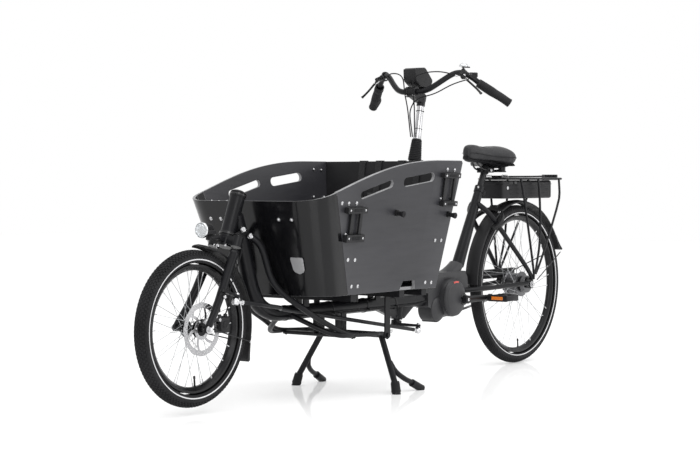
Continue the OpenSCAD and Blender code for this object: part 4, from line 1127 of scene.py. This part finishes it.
# ---------------------------------------------------------------- steering, bar and controls
COLUMN_TURN = Matrix((Y.cross(COLUMN_AXIS), Y, COLUMN_AXIS)).transposed()
GRIP_A, GRIP_B = vec(640, 247, 1120), vec(578, 318, 1060)
GRIP_DIR = (GRIP_B - GRIP_A).normalized()
LEVER_AXIS = -joint_axis("brake_lever_left_pull")
LEVER_AT = joint_at("brake_lever_left_pull")
LEVER_OUT = (X - GRIP_DIR * X.dot(GRIP_DIR)).normalized()
LEVER_DIR = (0.94 * GRIP_DIR + 0.34 * LEVER_OUT).normalized()
BELL = vec(688, 186, 1191)


def on_side(v, side):
    return vec(v[0], side * v[1], v[2])


def up_column(h):
    return COLUMN + COLUMN_AXIS * h


def steering_column():
    refine("steering_column", "frame_paint", 0.7, 32)
    sleeve = rubber("column_sleeve", "steering")
    profile = [(13, -3), (25.6, -3)]
    for i in range(11):
        h = 1 + 7 * i
        r = 25.9 - 7 * (h + 3) / 82
        profile += [(r - 0.9, h), (r + 0.5, h + 1), (r + 0.5, h + 4), (r - 0.9, h + 5)]
    profile += [(18.4, 79), (17, 80), (13, 80)]
    sleeve.lathe(profile, COLUMN, COLUMN_AXIS, 56)
    sleeve.done(smooth=30)
    nut = steel("steering_arm_nuts", "steering")
    ball = joint_at("rod_swing")
    nut.bolt(ball + COLUMN_AXIS * 22, COLUMN_AXIS, 6.5, 5)
    nut.bolt(up_column(-634) - X * 20, -X, 4, 3)
    nut.done()


def stem():
    refine("stem", "alloy_black", 0.8, 30)
    tube = Piece("stem_tube", "steering", "polished_alloy", "stem_silver")
    tube.turned([(12, 80.4), (15.6, 80.6), (16, 82), (15.2, 100), (14.2, 130), (13.4, 165), (12.8, 195),
                 (12.6, 212), (11, 212.2)], COLUMN, COLUMN_AXIS, 56)
    tube.done(smooth=35)
    clamp = alloy("stem_clamp", "steering")
    clamp.lathe([(12.8, 210), (15.4, 210), (16.4, 211.4), (16.4, 246), (15, 249), (11.6, 249)],
                COLUMN, COLUMN_AXIS, 48)
    for y in (-17, 17):
        clamp.lathe([(13, y - 6), (19.6, y - 6), (20.4, y - 5), (20.4, y + 5), (19.6, y + 6), (13, y + 6)],
                    BAR, Y, 44)
    clamp.done(smooth=32)
    bolts = steel("stem_bolts", "steering")
    for y in (-17, 17):
        bolts.bolt(BAR + vec(15, y, -14), vec(1, 0, -0.8), 3.2, 2.4)
    for h in (216, 238):
        bolts.bolt(up_column(h) - COLUMN_TURN.col[0] * 16, -COLUMN_TURN.col[0], 3.4, 2.6)
    bolts.turned([(8.5, 0), (8.5, 3), (7, 5), (4.5, 5), (4.5, 3.4)], up_column(248), COLUMN_AXIS, 32)
    bolts.done()


def grip_start(side):
    """The right grip is shorter, as it shares its side with the gear shifter."""
    return on_side(GRIP_A - GRIP_DIR * (26 if side > 0 else 0), side)


def grips():
    hold = Piece("grip_rubber", "steering", "soft_rubber", "grip_rubber")
    for side in (1, -1):
        a, b = grip_start(side), on_side(GRIP_B, side)
        d = (b - a).normalized()
        out = on_side(LEVER_OUT, side)
        down = d.cross(out) * side
        length = (b - a).length + 4
        rings, around, count = [], 40, 64
        for i in range(count + 1):
            t = i / count
            wing = max(0.0, sin(pi * min(1, max(0, (t - 0.42) / 0.62)))) ** 1.2
            core = 16.4 + 1.6 * sin(pi * t) ** 0.6 + 0.45 * cos(2 * pi * t * 22)
            core *= 1 if 0 < i < count else 0.9
            ring = []
            for k in range(around):
                a0 = 2 * pi * k / around
                reach = max(0.0, cos(a0 - pi)) ** 3
                r = core + 12 * wing * reach
                rise = r * sin(a0) * (1 - 0.16 * wing)
                ring.append(a + d * (length * t) + out * (r * cos(a0)) + down * rise)
            rings.append(ring)
        hold.skin(rings)
    hold.done("grips", smooth=50)
    rings = alloy("grip_clamps", "steering")
    screws = steel("grip_screws", "steering")
    for side in (1, -1):
        a, b = grip_start(side), on_side(GRIP_B, side)
        d = (b - a).normalized()
        rings.lathe([(11.4, -0.4), (15.8, -0.4), (16.8, 0.6), (16.8, 6.6), (15.8, 7.6), (11.4, 7.6)], a, d,
                    44)
        rings.turned([(14, 0), (16.6, 0.6), (17.4, 2), (17.2, 4), (14, 6.2), (6, 7)], b + d * 1.5, d, 44)
        screws.bolt(a + d * 3.6 - on_side(LEVER_OUT, side) * 15.5, -on_side(LEVER_OUT, side), 2.2, 1.6)
    rings.done(smooth=30)
    screws.done()


def console():
    body = plastic("display_body", "steering")
    outline = [(782, 1188), (770, 1193), (716, 1197), (708, 1193), (664, 1152), (664, 1142), (676, 1124),
               (684, 1121), (738, 1122), (748, 1124), (776, 1142), (780, 1150)]
    body.plate([[(x, -z) for x, z in outline]], (0, 0, 0), basis(Y, X), 58, 4)
    body.block((30, 44, 9), (700, 0, 1117), None, 3)
    body.done("bar_controls", smooth=38)
    slope = vec(-0.67, 0, 0.742).normalized()
    lean = Matrix((Y.cross(slope), Y, slope)).transposed()
    glass = Piece("display_glass", "steering", "screen_glass", "plastic_black")
    glass.block((52, 48, 2.4), vec(690, 0, 1174.6), lean, 1)
    glass.done(smooth=30)
    marks = Piece("display_marks", "steering", "white_print", "plastic_black")
    for row, (w, y) in enumerate(((20, 0), (9, -12), (9, 12), (14, 0))):
        at = vec(690, y, 1174.6) + lean @ vec(14 - 9 * row, 0, 1.3)
        marks.block((3, w * 0.8, 0.3), at, lean, 0.1)
    marks.done(smooth=30)


def perches():
    part = alloy("lever_perches", "steering")
    pins = steel("lever_pins", "steering")
    for side in (1, -1):
        d, out, axle = on_side(GRIP_DIR, side), on_side(LEVER_OUT, side), on_side(LEVER_AXIS, side)
        at, pivot = on_side(vec(688, 180, 1172), side), on_side(LEVER_AT, side)
        part.lathe([(11.4, -9), (15.2, -9), (16.2, -8), (16.2, 12), (15.2, 13), (11.4, 13)], at, d, 40)
        root = on_side(vec(684, 186, 1168), side)
        part.sweep(path_through([root + out * 12, root + out * 16, pivot - out * 16, pivot - out * 11], 4),
                   [9.4, 9.6, 9.6, 9.4, 9.2, 9, 8.8, 8.6, 8.4, 8.2, 8, 7.8, 7.6], 24)
        for s in (-1, 1):
            turn = basis(axle, out)
            part.plate([[(x - 8, y) for x, y in stadium(16, 7.2)]], pivot + axle * (s * 6.8), turn, 2.8, 0.5)
            pins.bolt(pivot + axle * (s * 8.0), axle * s, 3.4, 2.2)
        pins.bolt(at - out * 15 + d * 2, -out, 2.8, 2)
        part.lathe([(3, 0), (6.2, 0), (6.2, 8), (5, 11), (3, 11)], root + out * 20 - d * 8, -d, 28)
    part.done(smooth=34)
    pins.done()
    thumb = Piece("thumb_control", "steering", "gloss_plastic", "plastic_black")
    turn = Matrix.Rotation(radians(-40), 3, "Z")
    spot = vec(664, 214, 1164)
    thumb.block((33, 21, 19), spot, turn, 4)
    thumb.block((15, 8, 6), spot + turn @ vec(-4, 10, 6), turn, 2.4)
    thumb.done(smooth=34)
    keys = Piece("thumb_keys", "steering", "white_print", "plastic_black")
    for dx in (-8, 0, 8):
        keys.block((5, 5, 1.6), spot + turn @ vec(dx, 0, 9.8), turn, 0.7)
    keys.block((2, 15, 8), spot + turn @ vec(16.2, 0, 0), turn, 0.7)
    keys.done()
    bell = Piece("bell_dome", "steering", "lamp_chrome", "bolt_steel")
    dome = [(17.2, 4.6), (17.8, 5.2)] + [(17.4 * cos(a), 6.5 + 11.5 * sin(a))
                                         for a in [radians(8 * k) for k in range(1, 11)]]
    bell.turned(dome + [(1.2, 18.2)], BELL, Z, 48)
    bell.turned([(2.6, 17.6), (3, 18.2), (3, 19.4), (2, 20.2)], BELL, Z, 24)
    bell.done(smooth=30)
    base = Piece("bell_base", "steering", "gloss_plastic", "plastic_black")
    base.turned([(3, -13), (7, -12.5), (7, -6), (2.9, -1), (2.9, 4.4)], BELL, Z, 32)
    base.done()


def cables():
    soften("control_cables", "soft_rubber", 0.15, 60)
    ends = steel("cable_ferrules", "steering")
    for side in (1, -1):
        a, b = on_side(vec(700, 168, 1160), side), on_side(vec(740, 120, 1176), side)
        d = (b - a).normalized()
        ends.lathe([(1.8, -2), (3.3, -2), (3.5, -1), (3.5, 9), (2.9, 11), (1.8, 11)], a, d, 24)
    ends.done()
    tie = Piece("cable_tie", "steering", "soft_rubber", "cable_rubber")
    for h in (120, 190):
        tie.lathe([(12.6, -1), (15.6, -1), (15.9, 0), (15.6, 1), (12.6, 1)], up_column(h), COLUMN_AXIS, 44)
    tie.done()


def levers():
    for name, side in (("brake_lever_left", 1), ("brake_lever_right", -1)):
        d, out, axle = on_side(LEVER_DIR, side), on_side(LEVER_OUT, side), on_side(LEVER_AXIS, side)
        pivot = on_side(LEVER_AT, side)
        blade = alloy(name + "_blade", name)
        path = path_through([pivot + d * 7, pivot + d * 30 + out * 3, pivot + d * 58 + out * 8,
                             pivot + d * 80 + out * 15, pivot + d * 92 + out * 22], 6)
        blade.sweep(path, lambda t: 4.3 - 0.5 * sin(pi * t) + (1.0 if t > 0.93 else 0), 24, 1.3, axle)
        blade.lathe([(2.9, -4.6), (7.2, -4.6), (7.8, -4), (7.8, 4), (7.2, 4.6), (2.9, 4.6)], pivot, axle, 36)
        blade.done(name, smooth=45)
        screw = steel(name + "_reach_screw", name)
        screw.bolt(pivot + d * 14 + out * 5.2, out, 2, 1.6)
        screw.done()
    refine("bell_lever", "gloss_plastic", 0.7, 35)
    pad = rubber("bell_lever_pad", "bell_lever")
    turn = Matrix.Rotation(radians(150), 3, "Z")
    for i in range(4):
        pad.block((1.6, 7, 1.2), BELL + turn @ vec(17 + 2.4 * i, 0, 4.3), turn, 0.4)
    pad.done()


def shifter():
    d = on_side(GRIP_DIR, -1)
    out = on_side(LEVER_OUT, -1)
    at = on_side(GRIP_A, -1)
    down = d.cross(out)
    barrel = Piece("shifter_barrel", "gear_shifter", "soft_rubber", "grip_rubber")
    rings, around = [], 120
    for h, base, flute in ((-25.8, 14.2, 0), (-25.8, 17.4, 0), (-25, 18.3, 0), (-19, 18.3, 0),
                           (-18.4, 17.9, 0.1),
                           (-17.5, 18.1, 0.5), (-2.6, 18.3, 0.5), (-1.8, 17.6, 0.1), (-1.2, 17.2, 0),
                           (-1.2, 14.2, 0)):
        ring = []
        for k in range(around):
            a = 2 * pi * k / around
            r = base + flute * cos(24 * a)
            ring.append(at + d * h + out * (r * cos(a)) + down * (r * sin(a)))
        rings.append(ring)
    barrel.skin(rings, closed_path=True)
    barrel.done("gear_shifter", smooth=35)
    scale = Piece("shifter_scale", "gear_shifter", "white_print", "plastic_black")
    for k in range(8):
        a = radians(200 + 12 * k)
        spoke = out * cos(a) + down * sin(a)
        turn = Matrix((d, spoke.cross(d), spoke)).transposed()
        scale.block((3.4 if k % 2 else 5, 0.8, 0.5), at + d * -22 + spoke * 18.35, turn, 0.15)
    scale.done()


def tie_rod():
    high = node_box("tie_rod")[1]
    back = joint_at("rod_swing")
    front = vec(high.x - 12.5, 92, high.z - 12.5)

    def on_rod(x, y):
        return vec(x, y, back.z + (x - back.x) * (front.z - back.z) / (front.x - back.x))

    bends = [on_rod(1680, 91.5), on_rod(1730, 138), on_rod(1830, 136)]
    points = [back]
    for before, bend, after in zip([back] + bends[:-1], bends, bends[1:] + [front]):
        p, q = (before - bend).normalized() * 14, (after - bend).normalized() * 14
        points += [bend + p * (1 - t) ** 2 + q * t ** 2 for t in [k / 6 for k in range(7)]]
    points.append(front)
    first, last = (points[1] - back).normalized(), (points[-2] - front).normalized()
    points[0], points[-1] = back + first * 24, front + last * 24
    rod = Piece("tie_rod_tube", "tie_rod", "frame_paint", "frame_black")
    rod.sweep(points, 7.1, 28)
    rod.done("tie_rod", smooth=45)
    ends = Piece("rod_ends", "tie_rod", "bright_steel", "axle_steel")
    boots = Piece("rod_boots", "tie_rod", "soft_rubber", "cable_rubber")
    for at, d, up in ((back, first, COLUMN_AXIS), (front, last, HEAD_AXIS)):
        ends.turned([(4, 8), (5.4, 9), (5.4, 22), (8.6, 22.4), (8.6, 28), (7.4, 29)], at, d, 6)
        ends.turned([(4.4, 8), (4.4, 22)], at, d, 24)
        ends.turned([(5, -12.2), (9.6, -10.6), (12.3, -6), (12.6, 0), (12.2, 5), (10.4, 8.6), (8, 9)], at,
                    up, 40)
        boots.lathe([(4.2, 9), (9.4, 8.6), (10.2, 10), (8.4, 11.2), (8.8, 12.4), (6.6, 13.6), (4.2, 13.8)],
                    at, up, 36)
    ends.done(smooth=32)
    boots.done()


# ---------------------------------------------------------------- saddle and seat post
SADDLE_ROWS, SADDLE_ROUND, SADDLE_VOXEL = 45, 56, 0.005
FILL_PRESSURE, FILL_FRAMES, HELD_HEIGHT = 4, 20, 26


def saddle_ring(t, count, shrink=0.0):
    """A cross-section of the saddle: t runs from the nose (0) to the rear (1)."""
    xs = [389, 385, 374, 355, 328, 296, 262, 232, 205, 178, 152, 136, 129]
    half = [9, 17, 24, 28, 33, 43, 62, 84, 100, 105, 98, 80, 54]
    top = [884, 897, 906, 910, 907, 901, 898, 900, 904, 906, 902, 892, 878]
    low = [862, 850, 842, 839, 838, 837, 833, 825, 818, 815, 817, 825, 840]
    s = t * (len(xs) - 1)
    i = min(int(s), len(xs) - 2)
    f = s - i
    x, w, hi, lo = (a[i] + (a[i + 1] - a[i]) * f for a in (xs, half, top, low))
    w, hi, lo = w - shrink, hi - shrink, lo + shrink * 0.3
    ring = []
    for k in range(count):
        a = 2 * pi * k / count
        c, d = cos(a), sin(a)
        y = w * copysign(abs(c) ** 0.72, c)
        crown = 0.5 + 0.5 * copysign(abs(d) ** 0.8, d)
        groove = 3.2 * exp(-(y / 9.0) ** 2) * (1 if d > 0 and 0.15 < t < 0.95 else 0)
        z = lo + (hi - lo) * crown - (0.09 * abs(y) if d > 0 else -0.02 * abs(y)) - groove
        ring.append(vec(x, y, z))
    return ring


def swell(obj, cap=5.0):
    """Fills the pad by a short pressure simulation; points near the base shell stay where they are."""
    mesh = obj.data
    start = [v.co.copy() for v in mesh.vertices]
    low = min(p.z for p in start)
    group = obj.vertex_groups.new(name="held")
    for i, p in enumerate(start):
        height = (p.z - low) * 1000
        group.add([i], max(0.0, min(1.0, (HELD_HEIGHT - height) / 10)), "REPLACE")
    cloth = obj.modifiers.new("fill", "CLOTH")
    cloth.settings.quality = 5
    cloth.settings.use_pressure = True
    cloth.settings.uniform_pressure_force = FILL_PRESSURE
    cloth.settings.tension_stiffness = cloth.settings.compression_stiffness = 30
    cloth.settings.bending_stiffness = 2
    cloth.settings.effector_weights.gravity = 0
    cloth.settings.vertex_group_mass = "held"
    cloth.point_cache.frame_start, cloth.point_cache.frame_end = 1, FILL_FRAMES
    scene = bpy.context.scene
    for number in range(1, FILL_FRAMES + 1):
        scene.frame_set(number)
    shape = obj.evaluated_get(bpy.context.evaluated_depsgraph_get()).to_mesh()
    moved = [v.co.copy() for v in shape.vertices]
    obj.modifiers.remove(cloth)
    obj.vertex_groups.remove(group)
    for v, a, b in zip(mesh.vertices, start, moved):
        step = b - a
        if step.length * 1000 > cap:
            step *= cap / 1000 / step.length
        v.co = a + step
    mesh.update()
    scene.frame_set(1)


def saddle():
    pad = Piece("saddle_pad", "seat", "saddle_cover", "saddle_cover")
    pad.skin([saddle_ring(i / (SADDLE_ROWS - 1), SADDLE_ROUND, 2.5) for i in range(SADDLE_ROWS)])
    obj = pad.done("saddle", smooth=180)
    fresh = obj.modifiers.new("even", "REMESH")
    fresh.mode, fresh.voxel_size = "VOXEL", SADDLE_VOXEL
    depsgraph = bpy.context.evaluated_depsgraph_get()
    even = bpy.data.meshes.new_from_object(obj.evaluated_get(depsgraph))
    obj.modifiers.remove(fresh)
    even.materials.clear()
    even.materials.append(surface("saddle_cover"))
    obj.data = even
    swell(obj)
    even.shade_smooth()
    more = obj.modifiers.new("smooth", "SUBSURF")
    more.levels = more.render_levels = 1
    shell = plastic("saddle_base", "seat")
    rings = []
    for i in range(SADDLE_ROWS):
        ring = saddle_ring(0.04 + 0.92 * i / (SADDLE_ROWS - 1), SADDLE_ROUND, 1.5)
        lowest = min(p.z for p in ring)
        rings.append([vec(p.x, p.y * 0.93, min(p.z, lowest + 9) - 3.5) for p in ring])
    shell.skin(rings)
    shell.done(smooth=50)
    seam = Piece("saddle_seam", "seat", "soft_rubber", "saddle_cover")
    for side in (1, -1):
        line = []
        for i in range(60):
            ring = saddle_ring(0.09 + 0.84 * i / 59, SADDLE_ROUND, -0.4)
            p = ring[2] if side > 0 else ring[26]
            line.append(vec(p.x, p.y, p.z - 9))
        seam.sweep(line, lambda t: 0.3 + 0.9 * min(1, 8 * t, 8 * (1 - t)), 8)
    seam.done()


def seat_post():
    a, b = SEAT_LOW, SEAT_TOP
    d, length = (b - a).normalized(), (b - a).length
    post = alloy("post_tube", "seat")
    post.turned([(12.4, 150), (13.3, 151), (13.3, length + 76), (12, length + 77)], a, d, 44)
    for k in range(12):
        post.lathe([(13.1, -0.25), (13.5, -0.25), (13.5, 0.25), (13.1, 0.25)],
                   a + d * (length + 10 + 5 * k), d, 36)
    post.done("seat_post", smooth=35)
    head = alloy("post_head", "seat")
    head.turned([(14, length + 66), (17.6, length + 68), (18.6, length + 72), (18.6, length + 90),
                 (15, length + 95)],
                a, d, 44)
    head.block((46, 58, 9), (238, 0, 811), None, 2.5)
    head.block((44, 56, 9), (238, 0, 799), None, 2.5)
    head.done(smooth=34)
    rails = Piece("saddle_rails", "seat", "gloss_plastic", "bar_black")
    for y in (-22, 22):
        rails.sweep(path_through([(356, y * 0.35, 862), (325, y * 0.45, 838), (290, y * 0.8, 812),
                                  (240, y, 804),
                                  (195, y * 1.1, 804), (172, y * 1.3, 806)], 6), 3.6, 20)
    rails.done(smooth=50)
    springs = Piece("saddle_springs", "seat", "gloss_plastic", "axle_steel")
    for side in (1, -1):
        turns = [vec(176 + 13 * cos(t * 0.6), side * 40 + 13 * sin(t * 0.6), 799 + t * 0.28)
                 for t in range(0, 76)]
        springs.sweep(turns, 2.3, 10)
    springs.done(smooth=60)
    buffers = rubber("saddle_buffers", "seat")
    for side in (1, -1):
        buffers.turned([(6, 798), (8.5, 799), (9.5, 804), (7.5, 810), (9.5, 816), (8, 822)],
                       (176, side * 40, 0), Z, 32)
    buffers.block((34, 102, 5), (176, 0, 799), None, 1.6)
    buffers.done(smooth=36)
    screw = steel("post_bolts", "seat")
    for y in (-29, 29):
        screw.bolt((238, y, 805), Y * copysign(1, y), 5, 3.6)
    screw.done()


# ---------------------------------------------------------------- putting it together
wheel("front", "front_wheel", HUB_F, 258, 55, 99, 24, 24, 42)
wheel("rear", "rear_wheel", HUB_R, 330, 50, 107.5, 46, 26, 46)
for build in (hubs, axles, rotor, caliper, fork, head, headlight, mudguards, frame_tubes, motor, box_panels,
              box_fittings, carrier, battery_pack, ring_lock_case, chain_run, cranks, pedals, stand,
              steering_column, stem, grips, console, perches, cables, levers, shifter, tie_rod, saddle,
              seat_post):
    build()
soften("handlebar", "frame_paint")


# ---------------------------------------------------------------- floor, light and camera
FLOOR_HALF, FLOOR_SHINE, FLOOR_GLOW = 14.0, 0.3, 0.22


def stage_floor():
    mesh = bpy.data.meshes.new("floor")
    corners = [(x * FLOOR_HALF, y * FLOOR_HALF, 0) for x, y in ((-1, -1), (1, -1), (1, 1), (-1, 1))]
    mesh.from_pydata(corners, [], [(0, 1, 2, 3)])
    floor = bpy.data.objects.new("floor", mesh)
    bpy.context.scene.collection.objects.link(floor)
    mat = bpy.data.materials.new("floor")
    mat.use_nodes = True
    nodes, links = mat.node_tree.nodes, mat.node_tree.links
    nodes.clear()
    out = nodes.new("ShaderNodeOutputMaterial")
    both = nodes.new("ShaderNodeMixShader")
    dull, shine = nodes.new("ShaderNodeBsdfDiffuse"), nodes.new("ShaderNodeBsdfGlossy")
    glow, total = nodes.new("ShaderNodeEmission"), nodes.new("ShaderNodeAddShader")
    dull.inputs["Color"].default_value = (0.8, 0.8, 0.8, 1)
    glow.inputs["Strength"].default_value = FLOOR_GLOW
    shine.inputs["Roughness"].default_value = 0.06
    both.inputs["Fac"].default_value = FLOOR_SHINE
    links.new(dull.outputs["BSDF"], both.inputs[1])
    links.new(shine.outputs["BSDF"], both.inputs[2])
    links.new(both.outputs["Shader"], total.inputs[0])
    links.new(glow.outputs["Emission"], total.inputs[1])
    links.new(total.outputs["Shader"], out.inputs["Surface"])
    mesh.materials.append(mat)


def area_light(name, at, target, size, power):
    light = bpy.data.lights.new(name, "AREA")
    light.shape, light.size, light.size_y, light.energy = "RECTANGLE", size[0], size[1], power
    lamp = bpy.data.objects.new(name, light)
    bpy.context.scene.collection.objects.link(lamp)
    lamp.location = at
    lamp.rotation_euler = (Vector(target) - Vector(at)).to_track_quat("-Z", "Y").to_euler()


def lights():
    world = bpy.data.worlds.new("studio")
    world.use_nodes = True
    world.node_tree.nodes["Background"].inputs["Color"].default_value = (1, 1, 1, 1)
    world.node_tree.nodes["Background"].inputs["Strength"].default_value = 1.0
    bpy.context.scene.world = world
    area_light("overhead", (0.3, 0.6, 4.2), (0, 0, 0.5), (5, 4), 110)
    area_light("front_left", (4.2, 4.4, 2.6), (0.1, 0, 0.6), (3, 3), 90)
    area_light("left", (-2.6, 4.4, 2.4), (-0.2, 0, 0.6), (3, 3), 60)
    bpy.context.scene.view_settings.view_transform = "Standard"


# The photo's view: lens, place in millimetres from the rear axle, and turn in degrees.
LENS, CAMERA_AT, CAMERA_YAW, CAMERA_PITCH = 89.05, (6223.7, 3793.9, 765.7), 53.163, -1.497


def camera():
    data = bpy.data.cameras.new("camera")
    data.lens, data.sensor_width = LENS, 36
    data.clip_end = 100
    data.dof.use_dof = False
    cam = bpy.data.objects.new("camera", data)
    bpy.context.scene.collection.objects.link(cam)
    yaw, pitch = radians(CAMERA_YAW), radians(CAMERA_PITCH)
    look = vec(-sin(yaw) * cos(pitch), -cos(yaw) * cos(pitch), sin(pitch))
    cam.location = to_frame(CAMERA_AT)
    cam.rotation_euler = look.to_track_quat("-Z", "Y").to_euler()
    bpy.context.scene.camera = cam


stage_floor()
lights()
camera()
